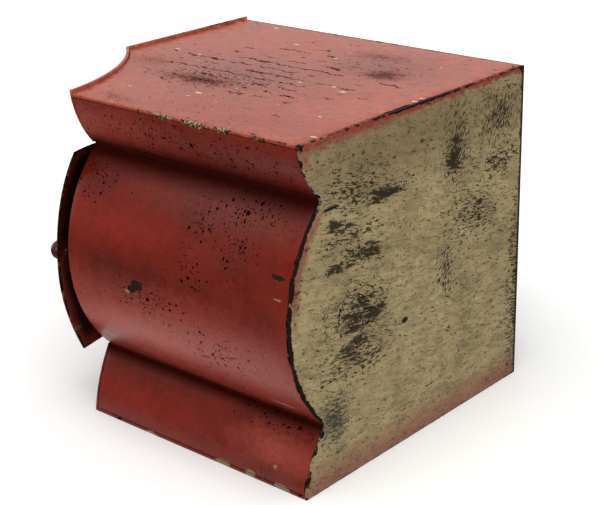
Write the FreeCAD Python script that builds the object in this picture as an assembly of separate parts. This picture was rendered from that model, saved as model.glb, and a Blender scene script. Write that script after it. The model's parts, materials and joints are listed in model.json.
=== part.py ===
"""Small tin magic lantern, lying on its left side wall.

Every piece is placed by three lantern measures in millimetres:
depth d from the rear corners towards the lens, height h above the underside, and z across the body.
In the part's own frame the lens looks along +Y, the underside faces +X and +Z runs across the body.
The origin is the middle of the side wall that the lantern lies on.
"""
import FreeCAD, Part
import math
import os

V = FreeCAD.Vector

# Lamp house
body_width = 130.0        # outside of one side wall to outside of the other
body_depth = 132.0        # rear corners to the outside of the lens wall
eave_height = 111.2       # underside to the roof at the rear corners
top_height = 146.0        # underside to the flat of the roof
ridge_depth = 60.0        # rear corners to the ridge
roof_hollow = 6.3         # how far the roof's slope sags below a straight line
roof_lip = 1.3            # the roof stands this proud of the upper side wall
sheet = 1.2               # tinplate of the whole case
seam = 0.2                # soldered joint between two sheets

# Rear panel: a bow between two shoulders, with a crease at each neck
neck_low = 24.7           # lower crease above the side that the lantern lies on
neck_high = 21.7          # upper crease below the other side
neck_inset = 11.5         # creases in from the rear corners
neck_radius = 1.0         # inside radius of a crease
bow_projection = 6.4      # the bow stands out past the rear corners
bow_rise = 0.8            # the bow's open end above the eave
shoulder_crown = 2.0      # how far a shoulder swells past a straight line

# Hatch in the roof and the arched hood over it
hatch_margin = 7.0        # land on each side, inside the creases
hatch_step = 3.0          # land behind each crease
hatch_setback = 14.0      # hatch ends this far before the ridge
hatch_corner = 12.0
hood_inset = 0.8          # hood is narrower than the bow on each side
hood_rise = 15.8          # crown above the hood's upper corner
hood_lift = 0.3           # hood's upper rear corner above the eave
hood_twist = 4.0          # lower rear corner stands out past the upper one
crown_shift = 11.5        # crown below the bow's middle
hood_sheet = 1.2
hood_clearance = 0.3      # hood to roof
knob_radius = 4.0
knob_height = 5.2
knob_seat = 0.15          # knob's flat foot above the crown
knob_setback = 4.2        # knob's axis from the hood's free edge
knob_offset = 8.0         # knob's axis above the crown

# Hood hinge
pin_radius = 0.8
knuckle_radius = 1.8
knuckle_gap = 0.4
hood_knuckle = 12.0       # length of the middle knuckle
hinge_length = 26.0
leaf_sheet = 0.8
leaf_reach = 12.0         # hood leaf, along the crown
hood_rivet_row = 8.4      # from the hood's upper end
hood_rivet_side = 3.6     # from the hinge's middle
roof_leaf = 7.6           # roof leaf, from the hood's upper end to just short of the ridge
roof_rivet_row = 4.9      # up the slope from the hood's upper end
pin_head_radius = 1.4
leaf_seat = 0.05          # leaf to the sheet that it is riveted to
rivet_radius = 0.8
rivet_head = 1.7
rivet_head_height = 0.9
rivet_slack = 0.1         # rivet's heads to the sheets between them
running_fit = 0.05        # radial play of pins, rivets and sliding tubes

# Optical axis, condenser and slide stage
lens_height = 66.0        # axis above the underside
aperture_radius = 22.0
cell_radius = 24.0        # bore of the condenser cell
cell_wall = 1.0
cell_length = 17.0
cell_flange = 5.0
cell_lip = 1.5            # shoulder that the lens seats against
lip_setback = 7.5         # shoulder in from the lens wall
condenser_edge = 3.0
condenser_bulge = 5.0
ring_width = 1.5
glass_play = 0.1
stage_height = 76.0
stage_width = 82.0
slide_gap = 8.0
rail_height = 10.0
stage_rivet_radius = 1.5
stage_rivet_head = 3.0
stage_rivet_inset = 5.0   # in from the stage's corners
spring_width = 5.0
spring_sheet = 0.5
spring_bulge = 2.4
spring_span = 64.0
spring_tab = 8.0
spring_offset = 25.0      # from the optical axis

# Objective
tube_radius = 17.5        # outside of the focus tube
tube_wall = 0.9
tube_length = 28.0
jacket_wall = 1.0
jacket_length = 20.0
jacket_flange = 6.0
bead_height = 1.1         # grip ring on the focus tube
bead_width = 2.0
bead_setback = 0.6        # grip ring to the jacket
objective_edge = 2.0
objective_bulge = 2.5
objective_setback = 12.0  # lens seat in from the tube's front
objective_lip = 2.0
cap_wall = 0.9
cap_gap = 0.4             # cap's rim to the grip ring
cap_reach = 5.4           # length of tube inside the cap

# Reflector on its bracket
mirror_radius = 24.0
mirror_depth = 5.0
mirror_sheet = 0.8
bracket_depth = 0.6       # back of the bracket from the rear corners
bracket_width = 12.0
bracket_foot = 15.0
bracket_over = 8.0        # bracket above the optical axis
mirror_rivet_radius = 1.2

# Oil lamp
lamp_depth = 70.0
font_radius = 28.0
font_wall = 0.8
font_side = 16.0
font_shoulder = 8.0
font_swell = 2.0          # shoulder's middle out past a straight line
font_brow = 0.7           # share of the shoulder's height reached there
lamp_ring_height = 6.0
lamp_ring_wall = 1.0
lamp_play = 0.3
mouth_radius = 8.5
collar_radius = 11.5
collar_height = 4.0
filler_offset = 20.5
filler_bore = 3.4
filler_wall = 0.8
filler_height = 28.0
filler_cap_radius = 5.0
filler_cap_height = 3.0
filler_plug = 5.0
burner_radius = 9.0
burner_wall = 1.0
burner_height = 12.0
burner_flange = 2.0
wick_width = 12.0
wick_thick = 2.0
wick_play = 0.4
wick_tube_wall = 0.8
wick_tube_over = 9.0      # wick tube above the gallery
wick_over = 1.5           # wick above its tube
wick_length = 46.0
spindle_radius = 0.8
spindle_under = 5.0       # spindle below the gallery
wheel_radius = 3.0
wheel_tooth = 0.6
wheel_teeth = 12
wheel_width = 4.0
wick_knob_radius = 5.5
wick_knob_width = 4.0
wick_knob_reach = 20.0    # knob from the lamp's axis
knob_flutes = 14
flute_radius = 0.7
gallery_sheet = 0.8
prong_count = 6
prong_width = 4.0
prong_height = 8.0
air_holes = 12
air_hole_radius = 0.65
dome_radius = 11.0
dome_height = 9.9
dome_sheet = 0.7
dome_slot_play = 0.6
chimney_radius = 13.6
chimney_wall = 1.2
chimney_foot = 8.0
chimney_bulge = 2.4
chimney_bulge_height = 20.0
chimney_neck = 11.5
chimney_neck_height = 43.0
chimney_length = 70.0

# Sizes worked out from those above
base_x = top_height / 2
bow_height = eave_height + bow_rise
upper_neck = body_width - neck_high
bow_mid = (neck_low + upper_neck) / 2
bow_half = (upper_neck - neck_low) / 2
bow_sagitta = neck_inset + bow_projection
bow_radius = (bow_half**2 + bow_sagitta**2) / (2 * bow_sagitta)
bow_centre = bow_radius - bow_projection
roof_climb = top_height - eave_height
roof_chord = math.hypot(ridge_depth, roof_climb)
roof_radius = (roof_chord**2 / 4 + roof_hollow**2) / (2 * roof_hollow)
roof_centre_d = ridge_depth / 2 - roof_climb / roof_chord * (roof_radius - roof_hollow)
roof_centre_h = (eave_height + top_height) / 2 + ridge_depth / roof_chord * (roof_radius - roof_hollow)
hatch_depth = ridge_depth - hatch_setback
hood_half = bow_half - hood_inset
hood_mid = bow_mid - crown_shift
low_rise = hood_rise - hood_twist
hood_radius_high = ((hood_half + crown_shift)**2 + hood_rise**2) / (2 * hood_rise)
hood_radius_low = ((hood_half - crown_shift)**2 + low_rise**2) / (2 * low_rise)
hood_foot = eave_height + hood_lift
hood_crown = hood_foot + hood_rise
arch_drop = (hood_rivet_side + rivet_head)**2 / (2 * hood_radius_low)
slope_sag = (roof_leaf + leaf_sheet)**2 / (8 * roof_radius)
ridge_turn = math.atan2(top_height - roof_centre_h, ridge_depth - roof_centre_d)
hinge_turn = ridge_turn - 2 * math.asin((roof_leaf + leaf_sheet) / (2 * roof_radius))
hinge_foot = roof_centre_d + roof_radius * math.cos(hinge_turn)
hinge_height = roof_centre_h + roof_radius * math.sin(hinge_turn)
hood_slope = (hinge_height - hood_crown) / hinge_foot
lean = math.hypot(1.0, hood_slope)
lens_z = body_width / 2
wall_inside = body_depth - sheet
stage_back = body_depth + sheet
stage_front = stage_back + slide_gap
jacket_seat = stage_front + sheet
condenser_radius = cell_radius - glass_play
tube_bore = tube_radius - tube_wall
objective_radius = tube_bore - glass_play
jacket_bore = tube_radius + running_fit
jacket_end = jacket_seat + jacket_length
bead_start = jacket_end + bead_setback
cap_start = bead_start + bead_width + cap_gap
tube_end = cap_start + cap_reach
tube_start = tube_end - tube_length
font_floor = sheet + seam
font_rim = font_floor + font_side
mouth_height = font_rim + font_shoulder
collar_top = mouth_height + collar_height
gallery_height = collar_top + burner_height
gallery_top = gallery_height + gallery_sheet
gallery_bore = chimney_radius + lamp_play
gallery_radius = gallery_bore + gallery_sheet
wick_tube_top = gallery_top + wick_tube_over
wick_top = wick_tube_top + wick_over
wick_half = wick_thick / 2
spindle_height = gallery_height - spindle_under
spindle_depth = lamp_depth - wick_half - lamp_play - wheel_radius


def at(d, h, z):
    """Point at a depth, a height and a place across the body."""
    return V(base_x - h, d - body_depth / 2, z)


def way(d, h, z):
    """Direction given in the same three measures."""
    return V(-h, d, z)


DEEP = way(1, 0, 0)
UP = way(0, 1, 0)
ACROSS = way(0, 0, 1)


def face(start, *steps):
    """Flat face: each step is a corner, or a pair of an arc's middle and end."""
    edges = []
    here = start
    for step in steps + (start,):
        if isinstance(step, tuple):
            edges.append(Part.Arc(here, *step).toShape())
            here = step[1]
        elif (step - here).Length > 1e-6:
            edges.append(Part.makeLine(here, step))
            here = step
    return Part.Face(Part.Wire(edges))


def block(d0, d1, h0, h1, z0, z1):
    return face(at(d0, h0, z0), at(d1, h0, z0), at(d1, h1, z0), at(d0, h1, z0)).extrude(ACROSS * (z1 - z0))


def rod(centre, axis, start, end, radius):
    """Round bar along an axis, between two places measured from its centre."""
    return Part.makeCylinder(radius, end - start, centre + axis * start, axis)


def pipe(centre, axis, start, end, outer, inner):
    return rod(centre, axis, start, end, outer).cut(rod(centre, axis, start, end, inner))


def turned(centre, axis, start, *steps):
    """Solid turned from a profile of (radius, place along the axis) points."""
    out = ACROSS - axis * ACROSS.dot(axis)
    out = out / out.Length

    def point(p):
        return centre + out * p[0] + axis * p[1]
    drawn = [(point(s[0]), point(s[1])) if isinstance(s[0], tuple) else point(s) for s in steps]
    return face(point(start), *drawn).revolve(centre, axis, 360)


def dome_middle(radius, height):
    """Middle of the arc from a round dome's top to its rim: radius there, and height above the rim."""
    ball = (radius**2 + height**2) / (2 * height)
    half_turn = math.asin(radius / ball) / 2
    return ball * math.sin(half_turn), ball * math.cos(half_turn) - ball + height


def rivets(centres, axis, grip, shank, head):
    """Rivets with a domed head at each centre and a flat peened end past the grip."""
    middle, lift = dome_middle(head, rivet_head_height)
    peened = (head + shank) / 2
    end = grip + rivet_head_height / 2
    profile = ((0, -rivet_head_height), ((middle, -lift), (head, 0)), (shank, 0), (shank, grip),
               (peened, grip), (peened, end), (0, end))
    return Part.makeCompound([turned(centre, axis, *profile) for centre in centres])


def rivet_hole(centre, axis, plate):
    """Hole for a small rivet, through a sheet and the leaf or tab on it."""
    return rod(centre, axis, -plate * 3, plate * 3, rivet_radius + running_fit)


# Roof surface, and what lies under it

def roof_height(d, under):
    return roof_centre_h - math.sqrt((roof_radius + under)**2 - (d - roof_centre_d)**2)


def roof_depth(h, under):
    return roof_centre_d + math.sqrt((roof_radius + under)**2 - (h - roof_centre_h)**2)


def under_roof(under, end, floor, z0, z1):
    """Space from the rear corners to a depth, below the roof's outer surface lowered by a distance."""
    flat = top_height - under
    turn = roof_depth(flat, under)
    middle = turn / 2
    outline = face(at(0, floor, z0), at(0, roof_height(0, under), z0),
                   (at(middle, roof_height(middle, under), z0), at(turn, flat, z0)),
                   at(end, flat, z0), at(end, floor, z0))
    return outline.extrude(ACROSS * (z1 - z0))


# Rear panel's outline

def shoulder(corner, neck):
    """Centre and radius of a shoulder's arc, from a corner of the body to a neck."""
    drop = neck - corner
    chord = math.hypot(neck_inset, drop)
    radius = (chord**2 / 4 + shoulder_crown**2) / (2 * shoulder_crown)
    reach = (radius - shoulder_crown) / chord
    lean_out = math.copysign(neck_inset, drop) * reach
    return (neck_inset / 2 + abs(drop) * reach, (corner + neck) / 2 - lean_out), radius


def meeting(first, first_radius, second, second_radius):
    """Rear crossing of two circles in depth and z."""
    apart = math.dist(first, second)
    along = (apart**2 + first_radius**2 - second_radius**2) / (2 * apart)
    off = math.sqrt(first_radius**2 - along**2)
    step = ((second[0] - first[0]) / apart, (second[1] - first[1]) / apart)
    foot = (first[0] + along * step[0], first[1] + along * step[1])
    return min((foot[0] - side * step[1], foot[1] + side * step[0]) for side in (-off, off))


def on_arc(centre, radius, first, second):
    """Middle of the shorter arc between two points of a circle."""
    middle = ((first[0] + second[0]) / 2 - centre[0], (first[1] + second[1]) / 2 - centre[1])
    scale = radius / math.hypot(*middle)
    return centre[0] + middle[0] * scale, centre[1] + middle[1] * scale


def rear_space(inset, h0, h1):
    """Plan of the body, with its rear edge moved in by a distance, between two heights."""
    bow = (bow_centre, bow_mid)
    corners = []
    necks = []
    middles = []
    for corner, neck in ((0.0, neck_low), (body_width, upper_neck)):
        centre, radius = shoulder(corner, neck)
        radius -= inset
        corners.append((centre[0] - math.sqrt(radius**2 - (corner - centre[1])**2), corner))
        necks.append(meeting(bow, bow_radius - inset, centre, radius))
        middles.append(on_arc(centre, radius, corners[-1], necks[-1]))

    def flat(p):
        return at(p[0], h0, p[1])
    apex = flat((inset - bow_projection, bow_mid))
    plan = face(at(body_depth, h0, 0), flat(corners[0]), (flat(middles[0]), flat(necks[0])),
                (apex, flat(necks[1])), (flat(middles[1]), flat(corners[1])), at(body_depth, h0, body_width))
    space = plan.extrude(UP * (h1 - h0))
    creases = [e for e in space.Edges for p in necks
               if all(math.dist((v.Y, v.Z), (flat(p).y, p[1])) < 1e-4 for v in e.Vertexes)]
    return space.makeFillet(neck_radius + inset, creases)


# Case

def base_plate():
    return rear_space(0, 0, sheet)


def rear_panel():
    low = sheet + seam
    panel = rear_space(0, low, bow_height).cut(rear_space(sheet, low, bow_height))
    panel = panel.common(block(-bow_projection, body_depth, low, bow_height, low, body_width - low))
    roof_space = under_roof(sheet + seam, body_depth, low, 0, body_width)
    for z0, z1 in ((0, neck_low), (upper_neck, body_width)):
        panel = panel.cut(block(-bow_projection, body_depth, low, bow_height, z0, z1).cut(roof_space))
    return panel


def side_wall(z):
    return under_roof(sheet + seam, wall_inside - seam, sheet + seam, z, z + sheet)


def lens_wall():
    wall = block(wall_inside, body_depth, sheet + seam, top_height - sheet - seam, 0, body_width)
    wall = wall.cut(rod(at(0, lens_height, lens_z), DEEP, wall_inside, body_depth, aperture_radius))
    return wall.cut(stage_rivet_holes())


def roof_plate():
    width = body_width + roof_lip
    plate = under_roof(0, body_depth, sheet, 0, width).cut(under_roof(sheet, body_depth, sheet, 0, width))
    behind = block(0, neck_inset + sheet, 0, top_height, 0, body_width).cut(rear_space(0, 0, top_height))
    mouth = block(0, neck_inset + hatch_step, 0, top_height, neck_low - seam, upper_neck + seam)
    hatch = block(neck_inset, hatch_depth, 0, top_height, neck_low + hatch_margin, upper_neck - hatch_margin)
    front = [e for e in hatch.Edges if all(abs(v.Y - at(hatch_depth, 0, 0).y) < 1e-6 for v in e.Vertexes)
             and abs(e.Vertexes[0].X - e.Vertexes[1].X) > sheet]
    plate = plate.cut(behind).cut(mouth).cut(hatch.makeFillet(hatch_corner, front))
    for place in roof_rivet_places():
        plate = plate.cut(rivet_hole(place, hinge_roof_normal(), sheet))
    return plate


# Hood, its knob and its hinge at the crown

def crown_point(d):
    """Point of the hood's crown, which runs up to the roof's slope at the hinge."""
    return at(d, hood_crown + hood_slope * d, hood_mid)


def hood_normal():
    return way(-hood_slope, 1, 0) / lean


def hinge_roof_way():
    """Direction up the roof's slope, from the hood's end to the ridge."""
    rise = at(ridge_depth, top_height, hood_mid) - crown_point(hinge_foot)
    return rise / rise.Length


def hinge_roof_normal():
    return hinge_roof_way().cross(ACROSS) * -1


def hinge_axis():
    """Point on the hinge's pin, clear of hood and roof by the same gap."""
    split = hood_normal() + hinge_roof_normal()
    split = split / split.Length
    reach = (knuckle_radius + knuckle_gap) / split.dot(hood_normal())
    return crown_point(hinge_foot) + split * reach


def hood_rivet_places():
    row = crown_point(hinge_foot - hood_rivet_row / lean)
    return [row + ACROSS * side for side in (-hood_rivet_side, hood_rivet_side)]


def roof_rivet_places():
    row = crown_point(hinge_foot) + hinge_roof_way() * roof_rivet_row
    knuckle_mid = (hinge_length + hood_knuckle) / 4
    return [row + ACROSS * side for side in (-knuckle_mid, knuckle_mid)]


def knob_place():
    angle = math.asin(knob_offset / hood_radius_high)
    sink = hood_radius_high * (1 - math.cos(angle))
    return crown_point(knob_setback) + ACROSS * knob_offset - UP * sink, angle


def knob_axis():
    angle = knob_place()[1]
    return hood_normal() * math.cos(angle) + ACROSS * math.sin(angle)


def hood_side(z, radius, inset):
    """Middle and end of an arc of the arch, from the crown to a side, in height and z."""
    centre = (hood_crown - radius, hood_mid)
    share = 1 - inset / radius
    end = (centre[0] + math.sqrt(radius**2 - (z - hood_mid)**2) * share, hood_mid + (z - hood_mid) * share)
    return on_arc(centre, radius - inset, (hood_crown - inset, hood_mid), end), end


def vent_hood():
    """Arched sheet, bent so that its crown lies below the bow's middle."""
    arcs = []
    for inset in (0, hood_sheet):
        low = hood_side(bow_mid - hood_half, hood_radius_low, inset)
        high = hood_side(bow_mid + hood_half, hood_radius_high, inset)
        arcs.append([at(0, *p) for p in (low[1], low[0], (hood_crown - inset, hood_mid), high[0], high[1])])
    outer, inner = arcs
    arch = face(outer[0], (outer[1], outer[2]), (outer[3], outer[4]), inner[4], (inner[3], inner[2]),
                (inner[1], inner[0]))
    hood = arch.extrude(way(ridge_depth, ridge_depth * hood_slope, 0))
    hood = hood.cut(under_roof(-hood_clearance, body_depth, 0, 0, body_width))
    for place in hood_rivet_places():
        hood = hood.cut(rivet_hole(place, hood_normal(), hood_sheet))
    return hood.cut(rivet_hole(knob_place()[0], knob_axis(), hood_sheet))


def hood_knob():
    """Domed knob with a shank riveted over inside the hood."""
    shank_end = -hood_sheet - rivet_slack
    peened = shank_end - rivet_head_height
    side = knob_height - knob_radius
    middle, lift = dome_middle(knob_radius, knob_radius)
    return turned(knob_place()[0], knob_axis(), (0, peened), (rivet_head, peened), (rivet_head, shank_end),
                  (rivet_radius, shank_end), (rivet_radius, knob_seat), (knob_radius - side / 2, knob_seat),
                  (knob_radius, side), ((middle, side + lift), (0, knob_height)))


def leaf(seat, along, normal, reach, length):
    """Flat leaf on a sheet, from the seat outwards, before its knuckles and holes."""
    corner = seat + normal * leaf_seat - ACROSS * length / 2
    edge = face(corner, corner + along * reach, corner + along * reach + normal * leaf_sheet,
                corner + normal * leaf_sheet)
    return edge.extrude(ACROSS * length)


def knuckles(outer):
    """Hinge eyes: the middle one, or the two at the ends."""
    axis = hinge_axis()
    half = hood_knuckle / 2
    if not outer:
        return rod(axis, ACROSS, -half, half, knuckle_radius)
    near = half + knuckle_gap
    return rod(axis, ACROSS, near, hinge_length / 2, knuckle_radius).fuse(
        rod(axis, ACROSS, -hinge_length / 2, -near, knuckle_radius))


def pin_hole():
    return rod(hinge_axis(), ACROSS, -hinge_length, hinge_length, pin_radius + running_fit)


def hinge_hood_leaf():
    seat = crown_point(hinge_foot) - way(1, hood_slope, 0) / lean * knuckle_gap
    plate = leaf(seat, way(-1, -hood_slope, 0) / lean, hood_normal(), leaf_reach, hood_knuckle)
    plate = plate.fuse(knuckles(False)).removeSplitter().cut(pin_hole())
    for place in hood_rivet_places():
        plate = plate.cut(rivet_hole(place, hood_normal(), hood_sheet))
    return plate


def hinge_roof_leaf():
    seat = crown_point(hinge_foot)
    plate = leaf(seat, hinge_roof_way(), hinge_roof_normal(), roof_leaf, hinge_length)
    half = hood_knuckle / 2 + knuckle_gap
    plate = plate.cut(rod(hinge_axis(), ACROSS, -half, half, knuckle_radius + knuckle_gap))
    plate = plate.fuse(knuckles(True)).removeSplitter().cut(pin_hole())
    for place in roof_rivet_places():
        plate = plate.cut(rivet_hole(place, hinge_roof_normal(), sheet))
    return plate


def hinge_pin():
    axis = hinge_axis()
    half = hinge_length / 2 + knuckle_gap
    pin = rod(axis, ACROSS, -half, half, pin_radius)
    for side in (-1, 1):
        head = rod(axis + ACROSS * side * half, ACROSS * side, 0, leaf_sheet, pin_head_radius)
        pin = pin.fuse(head)
    return pin.removeSplitter()


def leaf_rivets(places, normal, plate):
    top = normal * (leaf_seat + leaf_sheet + rivet_slack)
    grip = leaf_seat + leaf_sheet + plate + 2 * rivet_slack
    return rivets([p + top for p in places], normal * -1, grip, rivet_radius, rivet_head)


# Condenser and slide stage, about the optical axis

def lens_line():
    return at(0, lens_height, lens_z)


def swell(radius, bulge, place):
    """How far a lens's face stands past its edge, at a distance from the axis."""
    ball = (radius**2 + bulge**2) / (2 * bulge)
    return math.sqrt(ball**2 - place**2) - ball + bulge


def biconvex(start, end, radius, bulge):
    """Lens with a flat edge and the same curve on both faces."""
    middle, lift = dome_middle(radius, bulge)
    return turned(lens_line(), DEEP, (0, start - bulge), ((middle, start - lift), (radius, start)),
                  (radius, end), ((middle, end + lift), (0, end + bulge)))


def condenser_cell():
    line = lens_line()
    cell = pipe(line, DEEP, wall_inside - cell_length, wall_inside, cell_radius + cell_wall, cell_radius)
    rim = cell_radius + cell_wall + cell_flange
    flange = pipe(line, DEEP, wall_inside - cell_wall, wall_inside, rim, cell_radius)
    seat = wall_inside - lip_setback
    lip = pipe(line, DEEP, seat, seat + cell_wall, cell_radius + cell_wall / 2, cell_radius - cell_lip)
    return cell.fuse([flange, lip]).removeSplitter()


def condenser_front():
    """Depth of the condenser's edge that faces the slide."""
    seat = wall_inside - lip_setback - glass_play
    return seat - swell(condenser_radius, condenser_bulge, cell_radius - cell_lip)


def condenser_lens():
    end = condenser_front()
    return biconvex(end - condenser_edge, end, condenser_radius, condenser_bulge)


def condenser_ring():
    inner = cell_radius - ring_width
    end = condenser_front() - condenser_edge - swell(condenser_radius, condenser_bulge, inner) - glass_play
    return pipe(lens_line(), DEEP, end - ring_width, end, cell_radius - running_fit, inner)


def stage_rivet_places():
    row = stage_height / 2 - stage_rivet_inset
    column = stage_width / 2 - stage_rivet_inset
    return [at(0, lens_height + h, lens_z + z) for h in (-row, row) for z in (-column, column)]


def stage_rivet_holes():
    radius = stage_rivet_radius + running_fit
    return Part.makeCompound([rod(p, DEEP, wall_inside - sheet, jacket_seat + sheet, radius)
                              for p in stage_rivet_places()])


def stage_block(d0, d1):
    return block(d0, d1, lens_height - stage_height / 2, lens_height + stage_height / 2,
                 lens_z - stage_width / 2, lens_z + stage_width / 2)


def stage_back_plate():
    plate = stage_block(body_depth, stage_back)
    return plate.cut(rod(lens_line(), DEEP, body_depth, stage_back, aperture_radius)).cut(stage_rivet_holes())


def stage_rails():
    bars = stage_block(stage_back, stage_front)
    way_through = stage_height / 2 - rail_height
    bars = bars.cut(block(stage_back, stage_front, lens_height - way_through, lens_height + way_through,
                          0, body_width))
    return bars.cut(stage_rivet_holes())


def spring_places():
    """Centre of each spring's tab, on the inside of the front plate."""
    tab = lens_z - spring_span / 2 - spring_tab / 2
    return [at(stage_front, lens_height + side * spring_offset, tab) for side in (-1, 1)]


def stage_front_plate():
    plate = stage_block(stage_front, jacket_seat)
    plate = plate.cut(rod(lens_line(), DEEP, stage_front, jacket_seat, tube_bore))
    for place in spring_places():
        plate = plate.cut(rivet_hole(place, DEEP, sheet))
    return plate.cut(stage_rivet_holes())


def stage_springs():
    """Bowed strips that press the slide back; each is held by a tab at one end."""
    springs = []
    for place in spring_places():
        low = place - UP * (spring_width / 2) - ACROSS * spring_tab / 2
        tab_end = low + ACROSS * spring_tab
        tip = tab_end + ACROSS * spring_span
        crest = (tab_end + tip) / 2 - DEEP * spring_bulge
        back = DEEP * -spring_sheet
        strip = face(low, tab_end, (crest, tip), tip + back, (crest + back, tab_end + back), low + back)
        strip = strip.extrude(UP * spring_width)
        springs.append(strip.cut(rivet_hole(place, DEEP, sheet)))
    return Part.makeCompound(springs)


def stage_rivets():
    heads = [p + DEEP * jacket_seat for p in stage_rivet_places()]
    return rivets(heads, DEEP * -1, jacket_seat - wall_inside, stage_rivet_radius, stage_rivet_head)


def spring_rivets():
    heads = [p + DEEP * sheet for p in spring_places()]
    return rivets(heads, DEEP * -1, sheet + spring_sheet, rivet_radius, rivet_head)


# Objective

def lens_jacket():
    line = lens_line()
    outer = jacket_bore + jacket_wall
    jacket = pipe(line, DEEP, jacket_seat, jacket_end, outer, jacket_bore)
    flange = pipe(line, DEEP, jacket_seat, jacket_seat + jacket_wall, outer + jacket_flange, jacket_bore)
    return jacket.fuse(flange).removeSplitter()


def focus_tube():
    line = lens_line()
    tube = pipe(line, DEEP, tube_start, tube_end, tube_radius, tube_bore)
    middle = tube_radius - tube_wall / 2
    bead = pipe(line, DEEP, bead_start, bead_start + bead_width, tube_radius + bead_height, middle)
    seat = tube_end - objective_setback
    lip = pipe(line, DEEP, seat - tube_wall, seat, middle, tube_bore - objective_lip)
    return tube.fuse([bead, lip]).removeSplitter()


def objective_swell():
    return swell(objective_radius, objective_bulge, tube_bore - objective_lip)


def objective_back():
    """Depth of the objective's edge that faces the slide."""
    return tube_end - objective_setback + glass_play + objective_swell()


def objective_lens():
    start = objective_back()
    return biconvex(start, start + objective_edge, objective_radius, objective_bulge)


def objective_ring():
    start = objective_back() + objective_edge + objective_swell() + glass_play
    outer = tube_bore - running_fit
    return pipe(lens_line(), DEEP, start, start + ring_width, outer, tube_bore - objective_lip)


def lens_cap():
    line = lens_line()
    bore = tube_radius + running_fit
    end = tube_end + cap_wall / 2
    cap = rod(line, DEEP, cap_start, end + cap_wall, bore + cap_wall)
    return cap.cut(rod(line, DEEP, cap_start, end, bore))


# Reflector

def mirror_back():
    return bracket_depth + sheet + glass_play


def reflector():
    start = mirror_back()
    radius = (mirror_radius**2 + mirror_depth**2) / (2 * mirror_depth)
    inner = radius - mirror_sheet
    angle = math.asin(mirror_radius / radius)

    def spot(r, share):
        return r * math.sin(angle * share), start + radius - r * math.cos(angle * share)
    dish = turned(lens_line(), DEEP, spot(radius, 0), (spot(radius, 0.5), spot(radius, 1)), spot(inner, 1),
                  (spot(inner, 0.5), spot(inner, 0)))
    return dish.cut(rod(lens_line(), DEEP, 0, mirror_depth, mirror_rivet_radius + running_fit))


def reflector_bracket():
    z0 = lens_z - bracket_width / 2
    z1 = lens_z + bracket_width / 2
    upright = block(bracket_depth, bracket_depth + sheet, sheet, lens_height + bracket_over, z0, z1)
    foot = block(bracket_depth, bracket_depth + bracket_foot, sheet, 2 * sheet, z0, z1)
    bracket = upright.fuse(foot).removeSplitter()
    return bracket.cut(rod(lens_line(), DEEP, 0, mirror_depth, mirror_rivet_radius + running_fit))


def reflector_rivet():
    grip = sheet + mirror_sheet + glass_play * 2
    place = lens_line() + DEEP * (bracket_depth + grip)
    return rivets([place], DEEP * -1, grip, mirror_rivet_radius, mirror_rivet_radius * 2)


# Oil lamp, about its own upright axis

def lamp_line():
    return at(lamp_depth, 0, lens_z)


def filler_line():
    return at(lamp_depth - filler_offset, 0, lens_z)


def lamp_ring():
    bore = font_radius + lamp_play
    return pipe(lamp_line(), UP, sheet, sheet + lamp_ring_height, bore + lamp_ring_wall, bore)


def font_form(wall):
    """The oil font's form, drawn in by a wall thickness."""
    side = font_radius - wall
    top = mouth_height - wall
    brow = ((side + collar_radius) / 2 + font_swell, font_rim + (top - font_rim) * font_brow)
    return turned(lamp_line(), UP, (0, font_floor + wall), (side, font_floor + wall), (side, font_rim),
                  (brow, (collar_radius, top)), (0, top))


def oil_font():
    boss = rod(filler_line(), UP, font_rim, filler_height, filler_bore + filler_wall)
    font = font_form(0).fuse(boss).removeSplitter()
    font = font.cut(font_form(font_wall))
    font = font.cut(rod(filler_line(), UP, font_rim, filler_height, filler_bore))
    return font.cut(rod(lamp_line(), UP, font_rim, mouth_height, mouth_radius))


def filler_cap():
    line = filler_line()
    seat = filler_height + running_fit
    top = rod(line, UP, seat, seat + filler_cap_height, filler_cap_radius)
    plug = rod(line, UP, seat - filler_plug, seat, filler_bore - running_fit)
    grip = [filler_line() + way(math.cos(a), 0, math.sin(a)) * filler_cap_radius for a in turns(knob_flutes)]
    for spot in grip:
        top = top.cut(rod(spot, UP, seat, seat + filler_cap_height, flute_radius))
    return top.fuse(plug).removeSplitter()


def turns(count):
    return [2 * math.pi * n / count for n in range(count)]


def burner_collar():
    return pipe(lamp_line(), UP, mouth_height, collar_top, collar_radius, mouth_radius + running_fit)


def wick_slot(play, h0, h1):
    """Flat way for the wick, wider than it by a play on every side."""
    deep = wick_half + play
    wide = wick_width / 2 + play
    return block(lamp_depth - deep, lamp_depth + deep, h0, h1, lens_z - wide, lens_z + wide)


def spindle_line():
    return at(spindle_depth, spindle_height, lens_z)


def burner():
    line = lamp_line()
    plug = rod(line, UP, mouth_height - font_wall, collar_top, mouth_radius - running_fit)
    flange = rod(line, UP, collar_top, collar_top + burner_flange, collar_radius - burner_wall)
    body = rod(line, UP, collar_top, gallery_height, burner_radius)
    hollow = rod(line, UP, collar_top + burner_flange, gallery_height, burner_radius - burner_wall)
    whole = plug.fuse([flange, body]).removeSplitter().cut(hollow)
    whole = whole.cut(wick_slot(wick_play + wick_tube_wall + running_fit, font_floor, gallery_height))
    return whole.cut(rod(spindle_line(), ACROSS, -burner_radius, burner_radius, spindle_radius + running_fit))


def wick_tube():
    start = mouth_height - font_wall
    tube = wick_slot(wick_play + wick_tube_wall, start, wick_tube_top)
    tube = tube.cut(wick_slot(wick_play, start, wick_tube_top))
    half = wheel_width / 2 + lamp_play
    return tube.cut(rod(spindle_line(), ACROSS, -half, half, wheel_radius + lamp_play))


def wick():
    return wick_slot(0, wick_top - wick_length, wick_top)


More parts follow.
